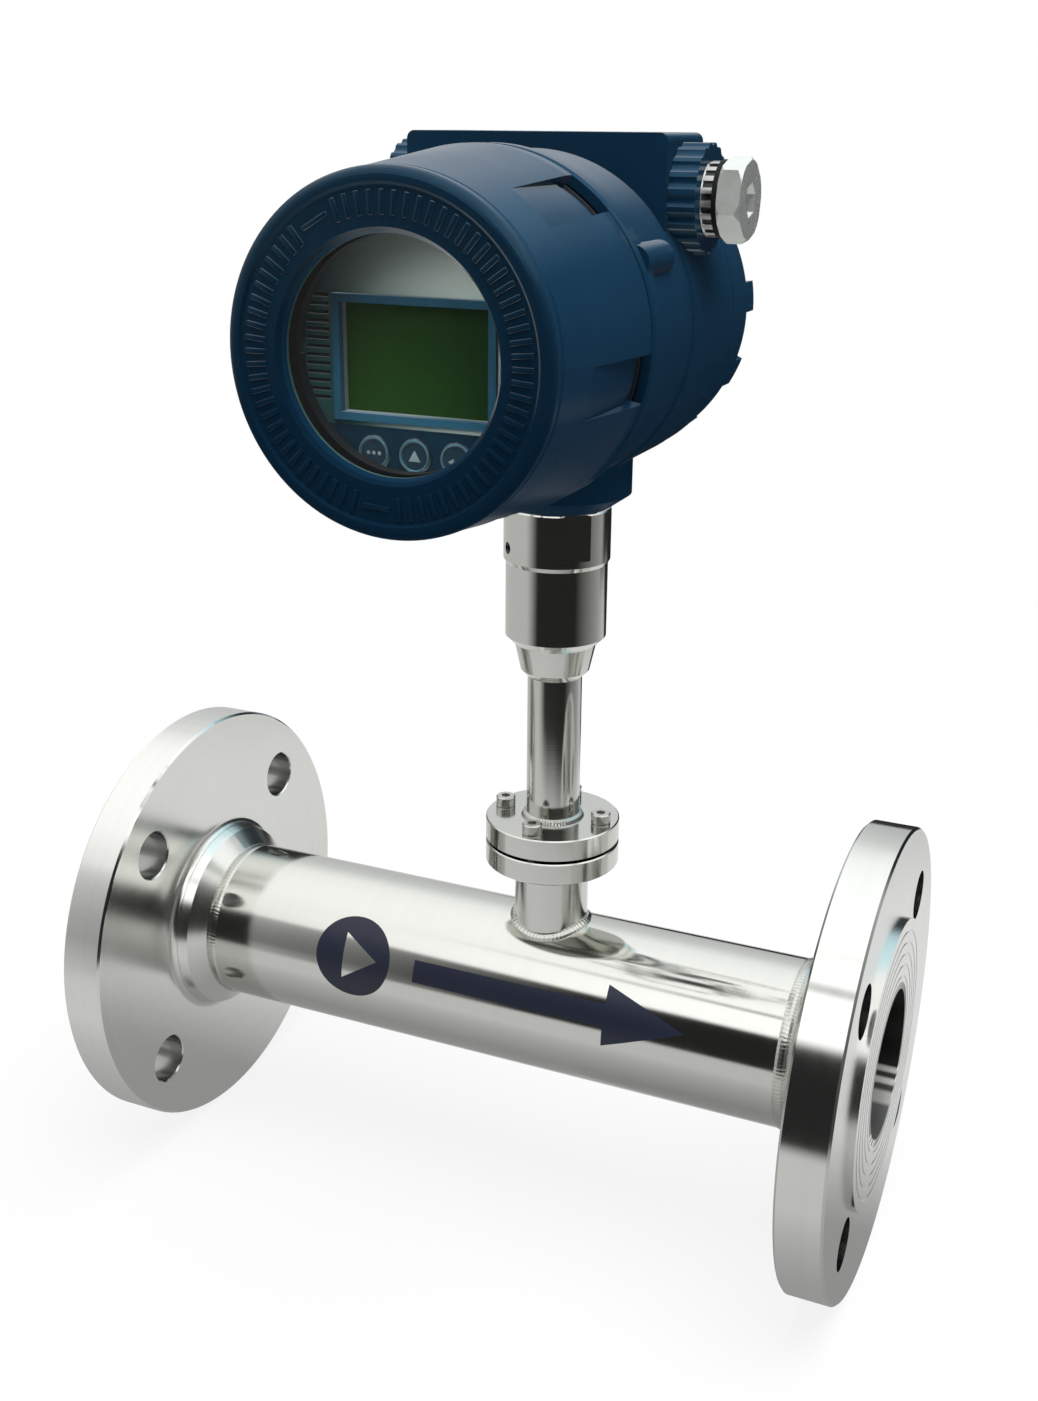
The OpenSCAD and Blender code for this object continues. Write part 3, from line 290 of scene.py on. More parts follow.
both = add(tree, "MixShader", {0: direct, 1: lit.outputs[0], 2: backdrop.outputs[0]})
tree.links.new(both.outputs[0], add(tree, "OutputWorld").inputs["Surface"])
bpy.context.scene.view_settings.view_transform = "Standard"


# Measuring pipe: a length of stainless tube, ground and polished round its circumference,
# with girth welds to the two flanges.
probe_x = 0.160
head_z = 0.24695
steel_tone = (0.705, 0.71, 0.67, 1)
pipe_pitch = 0.0005
pipe_rough = 0.09
pipe_groove = 0.000006
# shares by which the lines darken the steel and change its roughness, and what handling adds
line_darker = 0.94
line_smoother = 0.92
line_rougher = 1.12
handling_size = 0.025
handling_rougher = 0.03
wide_line_share = 0.09
handled = (0.35, 0.7)


# distance from an axis, out of the two places across it
def radius_of(tree, first, second):
    return maths(tree, "SQRT", maths(
        tree, "ADD", maths(tree, "MULTIPLY", first, first), maths(tree, "MULTIPLY", second, second)))


# lathe and grinding lines: rings round the local Z axis, by radius on a face and by
# height on a cylinder
turning_lines, given, out = new_group(
    "turning_lines", [("Vector", "Vector", None), ("Pitch", "Float", 0.0004)],
    [("Height", "Float"), ("Tone", "Float")])
parts = add(turning_lines, "SeparateXYZ", {0: given["Vector"]}).outputs
across = radius_of(turning_lines, parts[0], parts[1])
lines = add(turning_lines, "CombineXYZ", {0: across, 1: parts[2]}).outputs[0]
fine = add(turning_lines, "VectorMath", {0: lines, "Scale": maths(
    turning_lines, "DIVIDE", 1.0, given["Pitch"])}, operation="SCALE").outputs[0]
fine_lines = add(turning_lines, "TexNoise", {"Vector": fine, "Scale": 1.0, "Detail": 2.0}).outputs[0]
wide_lines = add(turning_lines, "TexNoise", {
    "Vector": fine, "Scale": wide_line_share, "Detail": 3.0}).outputs[0]
turning_lines.links.new(fine_lines, out["Height"])
turning_lines.links.new(wide_lines, out["Tone"])

# soft clouds of handling and cleaning that dull a surface unevenly
handling, given, out = new_group(
    "handling", [("Vector", "Vector", None), ("Size", "Float", 0.03)], [("Mask", "Float")])
spread = add(handling, "VectorMath", {0: given["Vector"], "Scale": maths(
    handling, "DIVIDE", 1.0, given["Size"])}, operation="SCALE").outputs[0]
clouds = add(handling, "TexNoise", {
    "Vector": spread, "Scale": 1.0, "Detail": 5.0, "Roughness": 0.6}).outputs[0]
handling.links.new(stepped(handling, clouds, handled), out["Mask"])

# the place and turn that bring each axis of the object to the local Z axis
axes = {
    "pipe": ((0, 0, 0), (0, math.pi / 2, 0)),
    "probe": ((-probe_x, 0, 0), (0, 0, 0)),
    "head": ((-probe_x, head_z, 0), (math.pi / 2, 0, 0)),
}


def placed(tree):
    return add(tree, "TexCoord").outputs["Object"]


def on_axis(tree, axis):
    place, turn = axes[axis]
    return add(tree, "Mapping", {
        "Vector": placed(tree), "Location": place, "Rotation": turn}).outputs[0]


def fresh(name):
    made = bpy.data.materials.new(name)
    made.use_nodes = True
    return made, made.node_tree, made.node_tree.nodes["Principled BSDF"]


def between(tree, value, low, high):
    return add(tree, "MapRange", {"Value": value, "To Min": low, "To Max": high}).outputs[0]


def tint(tree, share, first, second):
    mix = add(tree, "Mix", {0: share, 6: first, 7: second}, data_type="RGBA")
    return mix.outputs[2]


def bump(tree, height, distance, strength=1.0):
    return add(tree, "Bump", {"Height": height, "Distance": distance, "Strength": strength}).outputs[0]


def scaled(tone, share):
    return tuple(min(1, share * part) for part in tone[:3]) + (1,)


def turned_steel(name, axis, pitch, rough, groove, tone=steel_tone):
    made, tree, shader = fresh(name)
    place = on_axis(tree, axis)
    marks = use_group(tree, turning_lines, Vector=place, Pitch=pitch)
    dull = use_group(tree, handling, Vector=place, Size=handling_size)["Mask"]
    tree.links.new(
        tint(tree, marks["Tone"], scaled(tone, line_darker), tone), shader.inputs["Base Color"])
    shader.inputs["Metallic"].default_value = 1
    worn = maths(tree, "MULTIPLY_ADD", dull, handling_rougher, between(
        tree, marks["Tone"], rough * line_smoother, rough * line_rougher))
    tree.links.new(worn, shader.inputs["Roughness"])
    tree.links.new(bump(tree, marks["Height"], groove), shader.inputs["Normal"])
    return made


def dress(material, *names):
    for name in names:
        for place in nodes[name].material_slots:
            place.material = material


pipe_steel = turned_steel("pipe_steel", "pipe", pipe_pitch, pipe_rough, pipe_groove)
dress(pipe_steel, "measuring_pipe")

# Flow mark: a plain roundel with a bare triangle and an arrow printed on the front of the
# pipe in blue-black ink, pointing the way that the gas flows. The tube is duller inside.
arrow_from = 0.117
arrow_neck = 0.192
arrow_tip = 0.222
arrow_half = 0.0042
arrow_head_half = 0.0112
arrow_turn = 0.36
arrow_ink = (0.006, 0.009, 0.022, 1)
roundel_at = 0.0915
roundel_r = 0.0155
bare_from = 0.0875
bare_tip = 0.1015
bare_slope = 0.62
pipe_r = 0.03015
neck_lap = 0.0001
skin_depth = 0.001
inside_metal = 0.85
ink_rougher = 0.3


def placed_parts(tree):
    return add(tree, "SeparateXYZ", {0: placed(tree)}).outputs


tree = pipe_steel.node_tree
shader = tree.nodes["Principled BSDF"]
parts = placed_parts(tree)
round_pipe = maths(tree, "SUBTRACT", maths(
    tree, "ARCTAN2", parts[2], maths(tree, "MULTIPLY", parts[1], -1.0)), arrow_turn)
off_line = maths(tree, "MULTIPLY", maths(tree, "ABSOLUTE", round_pipe), pipe_r)
to_tip = maths(tree, "SUBTRACT", arrow_tip, parts[0])
head_half_here = maths(tree, "MULTIPLY", to_tip, arrow_head_half / (arrow_tip - arrow_neck))
in_head = maths(tree, "MULTIPLY", maths(tree, "GREATER_THAN", parts[0], arrow_neck), maths(
    tree, "LESS_THAN", off_line, head_half_here))
in_shaft = maths(tree, "MULTIPLY", maths(tree, "LESS_THAN", off_line, arrow_half), maths(
    tree, "MULTIPLY", maths(tree, "GREATER_THAN", parts[0], arrow_from),
    maths(tree, "LESS_THAN", parts[0], arrow_neck + neck_lap)))
aside = maths(tree, "SUBTRACT", parts[0], roundel_at)
in_roundel = maths(tree, "LESS_THAN", radius_of(tree, aside, off_line), roundel_r)
to_bare_tip = maths(tree, "SUBTRACT", bare_tip, parts[0])
in_bare = maths(tree, "MULTIPLY", maths(tree, "GREATER_THAN", parts[0], bare_from), maths(
    tree, "LESS_THAN", off_line, maths(tree, "MULTIPLY", to_bare_tip, bare_slope)))
roundel = maths(tree, "MULTIPLY", in_roundel, maths(tree, "SUBTRACT", 1.0, in_bare))
inked = maths(tree, "MAXIMUM", roundel, maths(tree, "MAXIMUM", in_head, in_shaft))
inside_tube = maths(tree, "LESS_THAN", radius_of(tree, parts[1], parts[2]), pipe_r - skin_depth)
inked = maths(tree, "MULTIPLY", inked, maths(tree, "SUBTRACT", 1.0, inside_tube))
bare_share = maths(tree, "MULTIPLY_ADD", inside_tube, inside_metal - 1.0, 1.0)
bare_steel = shader.inputs["Base Color"].links[0].from_socket
tree.links.new(tint(tree, inked, bare_steel, arrow_ink), shader.inputs["Base Color"])
tree.links.new(maths(tree, "SUBTRACT", bare_share, inked), shader.inputs["Metallic"])
bare_rough = shader.inputs["Roughness"].links[0].from_socket
tree.links.new(
    maths(tree, "MULTIPLY_ADD", inked, ink_rougher, bare_rough), shader.inputs["Roughness"])

# Girth welds, the socket's saddle weld and the stem's weld: weld metal brushed bright, with
# the overlapping ripples that the welder's hand leaves round the joint.
weld_tone = (0.68, 0.68, 0.645, 1)
weld_valley = (0.52, 0.51, 0.47, 1)
weld_rough = (0.26, 0.17)
girth_ripples = 62.0
girth_ripple_depth = 0.00003
saddle_ripples = 30.0
saddle_ripple_depth = 0.0001
sway_grain = 260.0
sway_share = 4.0
weld_beads, given, out = new_group(
    "weld_beads", [("Vector", "Vector", None), ("Count", "Float", 60.0)],
    [("Height", "Float"), ("Tone", "Float")])
parts = add(weld_beads, "SeparateXYZ", {0: given["Vector"]}).outputs
around_weld = maths(weld_beads, "ARCTAN2", parts[1], parts[0])
sway = add(weld_beads, "TexNoise", {
    "Vector": given["Vector"], "Scale": sway_grain, "Detail": 2.0}).outputs[0]
phase = maths(weld_beads, "MULTIPLY_ADD", sway, sway_share, maths(
    weld_beads, "MULTIPLY", around_weld, given["Count"]))
ripples = maths(weld_beads, "ABSOLUTE", maths(weld_beads, "SINE", phase))
weld_beads.links.new(ripples, out["Height"])
weld_beads.links.new(maths(weld_beads, "MULTIPLY_ADD", sway, 0.5, maths(
    weld_beads, "MULTIPLY", ripples, 0.5)), out["Tone"])


def welded(name, axis, count, ripple_depth, *welds):
    made, tree, shader = fresh(name)
    bead = use_group(tree, weld_beads, Vector=on_axis(tree, axis), Count=count)
    tree.links.new(tint(tree, bead["Tone"], weld_valley, weld_tone), shader.inputs["Base Color"])
    shader.inputs["Metallic"].default_value = 1
    tree.links.new(between(tree, bead["Tone"], *weld_rough), shader.inputs["Roughness"])
    tree.links.new(bump(tree, bead["Height"], ripple_depth), shader.inputs["Normal"])
    dress(made, *welds)


welded("girth_weld_steel", "pipe", girth_ripples, girth_ripple_depth, "girth_welds")
welded("saddle_weld_steel", "probe", saddle_ripples, saddle_ripple_depth, "socket_weld", "stem_weld")

# Weld-neck flanges: rings forged in stainless steel, faced and turned on a lathe and welded
# to the pipe. They have a smoother rim, four bolt holes painted dark as shade and a raised face
# with sealing grooves, and the bore has painted shade with painted streaks of reflected light.
flange_tone = (0.80, 0.81, 0.775, 1)
flange_pitch = 0.00035
flange_rough = 0.19
flange_groove = 0.000006
rim_from = 0.0812
rim_smoother = 0.6
hole_centre = 0.04419
hole_r = 0.00905
hole_painted_shade = 0.42
bore_r = 0.0287
bore_metal = 0.85
bore_rougher = 1.5
# by height over the pipe's axis, the share of the steel's tone that the bore shows: low shares
# are painted shade and high shares painted streaks of reflected light
bore_painted_light_bands = [(-bore_r, 0.25), (-0.0240, 0.3), (-0.0234, 1.0), (-0.0214, 1.0), (-0.0207, 0.15),
              (-0.0197, 0.15), (-0.0191, 1.25), (-0.0181, 1.25), (-0.0175, 0.1), (-0.0165, 0.1),
              (-0.0159, 1.25), (-0.0149, 1.25), (-0.0142, 0.05), (0.010, 0.04), (0.020, 0.12),
              (bore_r, 0.5)]

flange_steel = turned_steel(
    "flange_steel", "pipe", flange_pitch, flange_rough, flange_groove, flange_tone)
dress(flange_steel, "inlet_flange", "outlet_flange")
tree = flange_steel.node_tree
shader = tree.nodes["Principled BSDF"]
parts = placed_parts(tree)
out_from_axis = radius_of(tree, parts[1], parts[2])
on_rim = maths(tree, "GREATER_THAN", out_from_axis, rim_from)
in_bore = maths(tree, "LESS_THAN", out_from_axis, bore_r)
turned_rough = shader.inputs["Roughness"].links[0].from_socket
tree.links.new(maths(tree, "MULTIPLY", turned_rough, maths(
    tree, "MULTIPLY_ADD", in_bore, bore_rougher - 1.0, maths(
        tree, "MULTIPLY_ADD", on_rim, rim_smoother - 1.0, 1.0))), shader.inputs["Roughness"])
tree.links.new(maths(tree, "MULTIPLY_ADD", in_bore, bore_metal - 1.0, 1.0), shader.inputs["Metallic"])
# painted shade in the four bolt holes
aside = maths(tree, "SUBTRACT", maths(tree, "ABSOLUTE", parts[1]), hole_centre)
above = maths(tree, "SUBTRACT", maths(tree, "ABSOLUTE", parts[2]), hole_centre)
in_hole = maths(tree, "LESS_THAN", radius_of(tree, aside, above), hole_r)
turned_tone = shader.inputs["Base Color"].links[0].from_socket
# the bore's painted shade and painted streaks of reflected light, by height
darkened = add(tree, "VectorMath", {0: turned_tone, "Scale": maths(
    tree, "MULTIPLY_ADD", in_hole, hole_painted_shade - 1.0, add(
        tree, "Mix", {0: in_bore, 2: 1.0, 3: ramp(tree, parts[2], bore_painted_light_bands)}).outputs[0])},
    operation="SCALE").outputs[0]
tree.links.new(darkened, shader.inputs["Base Color"])

# Probe joint: a short socket welded on the pipe, and two small flanges turned from stainless
# steel, with a rubber gasket between them and four cap screws. The meter's other bright
# screws, its black seals and the potting resin are finished here too.
joint_pitch = 0.0003
joint_rough = 0.12
joint_groove = 0.000005
screw_tones = ((0.5, 0.49, 0.47, 1), (0.74, 0.73, 0.7, 1))
screw_rough = (0.18, 0.34)
screw_grain = 420.0
rubber_black = (0.004, 0.004, 0.005, 1)
rubber_grain = 1600.0
rubber_lighter = 1.7
rubber_rough = (0.5, 0.75)
rubber_sheen = 0.15
rubber_relief = 0.00004
resin_black = (0.012, 0.011, 0.010, 1)
resin_grain = 300.0

joint_steel = turned_steel("joint_steel", "probe", joint_pitch, joint_rough, joint_groove)
dress(joint_steel, "sensor_socket", "probe_flange")


def noise(tree, scale, detail):
    return add(tree, "TexNoise", {"Vector": placed(tree), "Scale": scale, "Detail": detail}).outputs[0]


# a material whose colour and roughness waver with a fine grain
def grained(name, tones, rough, grain, detail=3.0):
    made, tree, shader = fresh(name)
    speck = noise(tree, grain, detail)
    tree.links.new(tint(tree, speck, *tones), shader.inputs["Base Color"])
    tree.links.new(between(tree, speck, *rough), shader.inputs["Roughness"])
    return made, tree, shader, speck


screw_steel, tree, shader, _ = grained(
    "screw_steel", screw_tones, screw_rough, screw_grain, detail=4.0)
shader.inputs["Metallic"].default_value = 1
dress(screw_steel, "joint_screws", "earth_screw", "ground_screw", "module_screws", "terminal_screws")


def rubber(name, tone, grain):
    made, tree, shader, speck = grained(name, (tone, scaled(tone, rubber_lighter)), rubber_rough, grain)
    shader.inputs["Specular IOR Level"].default_value = rubber_sheen
    tree.links.new(bump(tree, speck, rubber_relief), shader.inputs["Normal"])
    return made


seal_rubber = rubber("seal_rubber", rubber_black, rubber_grain)
dress(seal_rubber, "joint_gasket", "swivel_o_ring", "plug_washer", "front_o_ring", "rear_o_ring")
dress(rubber("potting_resin", resin_black, resin_grain), "lead_seal")

# Probe: a drawn and polished stem tube of stainless steel with a guard at its end, and in the
# gas two slim wells, one of them heated.
stem_pitch = 0.0005
stem_rough = 0.09
stem_groove = 0.000003
stem_steel = turned_steel("stem_steel", "probe", stem_pitch, stem_rough, stem_groove)
dress(stem_steel, "stem_tube", "probe_head", "probe_guard", "heated_well", "reference_well")

# Coupling and swivel sleeve: bar steel, turned bright, with two milled flats. The set screws
# of the sleeve and of the covers are blackened steel.
sleeve_pitch = 0.0003
sleeve_rough = 0.1
sleeve_groove = 0.000004
black_steel_tones = ((0.02, 0.02, 0.022, 1), (0.07, 0.07, 0.075, 1))
black_steel_rough = (0.3, 0.5)
black_steel_grain = 700.0
sleeve_steel = turned_steel("sleeve_steel", "probe", sleeve_pitch, sleeve_rough, sleeve_groove)
dress(sleeve_steel, "stem_coupling", "swivel_sleeve", "swivel_nipple")
black_steel, tree, shader, _ = grained(
    "black_steel", black_steel_tones, black_steel_rough, black_steel_grain, detail=4.0)
shader.inputs["Metallic"].default_value = 1
dress(black_steel, "lock_screw", "cover_lock_screws")

# Head: aluminium castings with a navy powder coat, glossy, with the faint orange peel of
# the coat over the cast skin. The threads of the covers are cut bare, and the front cover's
# face carries painted shade.
navy = (0.0034, 0.0170, 0.037, 1)
navy_pale = (0.0044, 0.0213, 0.045, 1)
navy_sheen = (0.45, 0.85, 1.0, 1)
# the coat's shine under and over the head's axis, and the heights between which it changes
sheen_under = 0.004
sheen_over = 0.30
sheen_edge = (head_z - 0.015, head_z + 0.03)
coat_rough = (0.20, 0.28)
coat_handling_size = 0.03
peel_size = 0.0018
peel_depth = 0.000012
broad_share = 0.07
broad_depth = 0.6
# painted shade on the front cover's face, which is painted darker than the rest of the coat
face_from = 0.1175
face_shade = 0.62
thread_pitch = 0.002
thread_r = 0.0468
thread_depth = 0.0012
thread_bare = (0.62, 0.62, 0.62, 1)
# where the threads run along the head's axis
housing_thread = (0.045, 0.0585)
front_thread = (0.046, 0.0612)
rear_thread = (-0.0207, -0.008)
cast_skin, given, out = new_group(
    "cast_skin", [("Vector", "Vector", None), ("Peel", "Float", 0.0016)],
    [("Height", "Float"), ("Tone", "Float")])
wave = add(cast_skin, "VectorMath", {0: given["Vector"], "Scale": maths(
    cast_skin, "DIVIDE", 1.0, given["Peel"])}, operation="SCALE").outputs[0]
peel = add(cast_skin, "TexNoise", {"Vector": wave, "Scale": 1.0, "Detail": 1.0}).outputs[0]
broad = add(cast_skin, "TexNoise", {"Vector": wave, "Scale": broad_share, "Detail": 4.0}).outputs[0]
cast_skin.links.new(maths(cast_skin, "MULTIPLY_ADD", broad, broad_depth, peel), out["Height"])
cast_skin.links.new(broad, out["Tone"])


# screw threads cut in the bare casting: one ridge for each turn round the local Z axis
cut_thread, given, out = new_group(
    "cut_thread",
    [("Vector", "Vector", None), ("Pitch", "Float", thread_pitch), ("Radius", "Float", thread_r),
     ("From", "Float", 0.0), ("To", "Float", 0.0)], [("Height", "Float"), ("Mask", "Float")])
parts = add(cut_thread, "SeparateXYZ", {0: given["Vector"]}).outputs
turned_by = maths(
    cut_thread, "DIVIDE", maths(cut_thread, "ARCTAN2", parts[1], parts[0]), 2 * math.pi)
ridge = maths(cut_thread, "PINGPONG", maths(
    cut_thread, "ADD", maths(cut_thread, "DIVIDE", parts[2], given["Pitch"]), turned_by), 0.5)
inside = maths(cut_thread, "MULTIPLY", maths(
    cut_thread, "LESS_THAN", radius_of(cut_thread, parts[0], parts[1]), given["Radius"]), maths(
        cut_thread, "MULTIPLY", maths(cut_thread, "GREATER_THAN", parts[2], given["From"]),
        maths(cut_thread, "LESS_THAN", parts[2], given["To"])))
cut_thread.links.new(ridge, out["Height"])
cut_thread.links.new(inside, out["Mask"])


def painted(name, peel_depth, thread_from, thread_to):
    made, tree, shader = fresh(name)
    where = placed(tree)
    parts = add(tree, "SeparateXYZ", {0: where}).outputs
    skin = use_group(tree, cast_skin, Vector=where, Peel=peel_size)
    dull = use_group(tree, handling, Vector=where, Size=coat_handling_size)["Mask"]
    thread = use_group(tree, cut_thread, Vector=on_axis(tree, "head"), From=thread_from, To=thread_to)
    rolled = tint(tree, skin["Tone"], navy, navy_pale)
    # painted shade: the coat is darker on the front cover's face
    on_face = maths(tree, "LESS_THAN", parts[1], -face_from)
    face_shaded_coat = add(
        tree, "VectorMath", {0: rolled, "Scale": face_shade}, operation="SCALE").outputs[0]
    coat = tint(tree, on_face, rolled, face_shaded_coat)
    tree.links.new(tint(tree, thread["Mask"], coat, thread_bare), shader.inputs["Base Color"])
    tree.links.new(thread["Mask"], shader.inputs["Metallic"])
    tree.links.new(between(tree, dull, *coat_rough), shader.inputs["Roughness"])
    relief = maths(tree, "ADD", maths(tree, "MULTIPLY", skin["Height"], peel_depth), maths(
        tree, "MULTIPLY", maths(tree, "MULTIPLY", thread["Height"], thread["Mask"]), thread_depth))
    tree.links.new(bump(tree, relief, 1.0), shader.inputs["Normal"])
    shine = stepped(tree, parts[2], sheen_edge, sheen_under, sheen_over)
    tree.links.new(shine, shader.inputs["Specular IOR Level"])
    shader.inputs["Specular Tint"].default_value = navy_sheen
    return made


dress(painted("housing_paint", peel_depth, *housing_thread), "housing_body")
dress(painted("front_cover_paint", peel_depth, *front_thread), "front_cover")
dress(painted("rear_cover_paint", peel_depth, *rear_thread), "rear_cover")
# the polished steel in the photograph doesn't mirror the head
for name in (
        "housing_body", "front_cover", "rear_cover", "window_glass", "window_gasket", "window_ring",
        "module_base", "module_case", "display_plate", "lcd_frame", "lcd_panel", "main_board",
        "display_board", "left_key", "middle_key", "right_key", "conduit_plug", "plug_washer"):
    nodes[name].visible_glossy = False

# Raised marks round the window: plain bars cast on the cover's face, with two long dashes,
# painted with the cover. They turn with it.
cover_face = 0.1192
mark_ring = 0.0392
mark_size = (0.0062, 0.0012, 0.0014)
mark_sunk = 0.0006
mark_pitch = 5
dash_size = (0.0012, 0.0012, 0.0085)
dash_turns = [120, 265]
dash_room = 9
mark_turns = [turn for turn in range(0, 360, mark_pitch)
              if all(abs(turn - dash_turn) > dash_room for dash_turn in dash_turns)]
mark_edge = 0.0003
mark_peel_depth = 0.000006
# a stretch of the head's axis past every piece, for paint with no thread
no_thread = (1.0, 1.1)
touching = 1e-6


def alone(*chosen):
    bpy.ops.object.select_all(action="DESELECT")
    for piece in chosen:
        piece.select_set(True)
    bpy.context.view_layer.objects.active = chosen[0]


def cast_bar(name, size, radius, edge):
    bpy.ops.object.select_all(action="DESELECT")
    bpy.ops.mesh.primitive_cube_add(
        size=1, location=(probe_x + radius, -cover_face + mark_sunk - size[1] / 2, head_z), scale=size)
    bar = bpy.context.object
    bar.name = name
    bpy.ops.object.transform_apply(location=True, rotation=True, scale=True)
    bpy.ops.object.mode_set(mode="EDIT")
    bpy.ops.mesh.select_all(action="DESELECT")
    shape = bmesh.from_edit_mesh(bar.data)
    front = min(vertex.co.y for vertex in shape.verts)
    for line in shape.edges:
        line.select = any(abs(vertex.co.y - front) < touching for vertex in line.verts)
    bmesh.update_edit_mesh(bar.data)
    bpy.ops.mesh.bevel(offset=edge, segments=2, affect="EDGES")
    bpy.ops.object.mode_set(mode="OBJECT")
    return bar


def ring_of(piece, turns, centre, axis):
    copies = []
    for turn in turns:
        copy = piece.copy()
        copy.data = piece.data.copy()
        copy.data.transform(Matrix.Translation(centre) @ Matrix.Rotation(
            math.radians(turn), 4, axis) @ Matrix.Translation(-centre))
        bpy.context.scene.collection.objects.link(copy)
        copies.append(copy)
    name = piece.name
    bpy.data.objects.remove(piece)
    alone(*copies)
    bpy.ops.object.join()
    joined = bpy.context.object
    joined.name = name
    return joined


def softened(piece, degrees=35):
    alone(piece)
    bpy.ops.object.shade_smooth_by_angle(angle=math.radians(degrees))


head_centre = Vector((probe_x, 0, head_z))
forward = Vector((0, -1, 0))
bars = ring_of(
    cast_bar("cover_marks", mark_size, mark_ring, mark_edge), mark_turns, head_centre, forward)
dashes = ring_of(
    cast_bar("cover_dashes", dash_size, mark_ring, mark_edge), dash_turns, head_centre, forward)
alone(bars, dashes)
bpy.ops.object.join()
softened(bars)
bars.data.materials.clear()
bars.data.materials.append(painted("mark_paint", mark_peel_depth, *no_thread))
bars.visible_glossy = False
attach(bars, "front_cover")

# Window: a thick disc of toughened glass, coated so that it mirrors little, set on a silicone
# gasket and clamped from inside by a black threaded ring.
glass_tone = (0.93, 0.97, 0.95, 1)
glass_ior = 1.34
smear_size = 0.02
smear_rough = (0.0, 0.03)
silicone_tone = (0.022, 0.046, 0.042, 1)
silicone_grain = 900.0
anodised_tone = (0.003, 0.0035, 0.004, 1)
anodised_grain = 1200.0
window_pane, tree, shader = fresh("window_pane")
smear = use_group(tree, handling, Vector=placed(tree), Size=smear_size)["Mask"]
shader.inputs["Base Color"].default_value = glass_tone
shader.inputs["Transmission Weight"].default_value = 1.0
shader.inputs["IOR"].default_value = glass_ior
tree.links.new(between(tree, smear, *smear_rough), shader.inputs["Roughness"])
clear = add(tree, "BsdfTransparent", {"Color": glass_tone})
through = add(tree, "MixShader", {
    0: add(tree, "LightPath").outputs["Is Shadow Ray"], 1: shader.outputs[0], 2: clear.outputs[0]})
tree.links.new(through.outputs[0], tree.nodes["Material Output"].inputs["Surface"])
dress(window_pane, "window_glass")
dress(rubber("window_silicone", silicone_tone, silicone_grain), "window_gasket")
dress(rubber("black_anodised", anodised_tone, anodised_grain), "window_ring")

# Conduit plug: a bright plated hexagon plug, screwed into the right cable entry over a black
# rubber washer, with its thread showing behind the washer.
plug_tones = ((0.60, 0.63, 0.60, 1), (0.72, 0.75, 0.72, 1))
plug_rough = (0.2, 0.32)
plug_grain = 160.0
plug_metal = 0.78
plug_steel, tree, shader, _ = grained("plug_steel", plug_tones, plug_rough, plug_grain, detail=4.0)
shader.inputs["Metallic"].default_value = plug_metal
dress(plug_steel, "conduit_plug")

# Thread collar of the plug: a bright steel ring with short axial notches, which stands
# between the fluted ring and the washer. Its ridges are extruded from every other face, and
# its grooves are painted dark as shade.
collar_from = probe_x + 0.0511
collar_to = probe_x + 0.0544
collar_in = 0.00985
collar_out = 0.0102
collar_tooth = 0.0007
collar_sides = 36
collar_edge = 0.00015
collar_rough = 0.3
tooth_metal = 0.8
tooth_tone = (0.42, 0.43, 0.42, 1)
groove_painted_shade = (0.004, 0.005, 0.006, 1)
# the painted shade of the grooves reaches up this share of a ridge
groove_shade_share = 0.6
tooth_from = collar_out + collar_tooth * groove_shade_share
entry_y = -0.0075
entry_z = head_z + 0.037

bpy.ops.object.select_all(action="DESELECT")
bpy.ops.mesh.primitive_cylinder_add(
    vertices=collar_sides, radius=collar_out, depth=collar_to - collar_from, end_fill_type="NOTHING",
    location=((collar_from + collar_to) / 2, entry_y, entry_z), rotation=(0, math.pi / 2, 0))
collar = bpy.context.object
collar.name = "plug_thread_collar"
bpy.ops.object.transform_apply(location=True, rotation=True, scale=True)
bpy.ops.object.mode_set(mode="EDIT")
shape = bmesh.from_edit_mesh(collar.data)
shape.faces.ensure_lookup_table()
for face in shape.faces:
    middle = face.calc_center_median()
    side = math.atan2(middle.z - entry_z, middle.y - entry_y) / (2 * math.pi) * collar_sides
    face.select = round(side - 0.5) % 2 == 0
bmesh.update_edit_mesh(collar.data)
bpy.ops.mesh.extrude_region_shrink_fatten(TRANSFORM_OT_shrink_fatten={"value": collar_tooth})
bpy.ops.mesh.select_all(action="SELECT")
bpy.ops.mesh.normals_make_consistent(inside=False)
bpy.ops.object.mode_set(mode="OBJECT")
wall = collar.modifiers.new("wall", "SOLIDIFY")
wall.thickness = collar_out - collar_in
wall.offset = -1
bpy.ops.object.modifier_apply(modifier=wall.name)
soft_edge = collar.modifiers.new("soft_edge", "BEVEL")
soft_edge.width = collar_edge
soft_edge.segments = 2
soft_edge.limit_method = "ANGLE"
bpy.ops.object.modifier_apply(modifier=soft_edge.name)
softened(collar)
collar_steel, tree, shader = fresh("collar_steel")
parts = placed_parts(tree)
aside = maths(tree, "SUBTRACT", parts[1], entry_y)
above = maths(tree, "SUBTRACT", parts[2], entry_z)
on_tooth = maths(tree, "GREATER_THAN", radius_of(tree, aside, above), tooth_from)
# painted shade in the grooves, bright steel on the ridges
tree.links.new(tint(tree, on_tooth, groove_painted_shade, tooth_tone), shader.inputs["Base Color"])
tree.links.new(maths(tree, "MULTIPLY", on_tooth, tooth_metal), shader.inputs["Metallic"])
shader.inputs["Roughness"].default_value = collar_rough
collar.data.materials.append(collar_steel)
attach(collar, "head")

# Display module: a base and a round case moulded in grey plastic, which carry the plate, the
# panel and the boards. Screws through the base hold it on pillars in the housing.
case_tones = ((0.2, 0.22, 0.215, 1), (0.26, 0.28, 0.275, 1))
case_rough = (0.4, 0.55)
case_grain = 900.0
case_relief = 0.00003
module_plastic, tree, shader, grain = grained("module_plastic", case_tones, case_rough, case_grain)
tree.links.new(bump(tree, grain, case_relief), shader.inputs["Normal"])
dress(module_plastic, "module_base", "module_case")
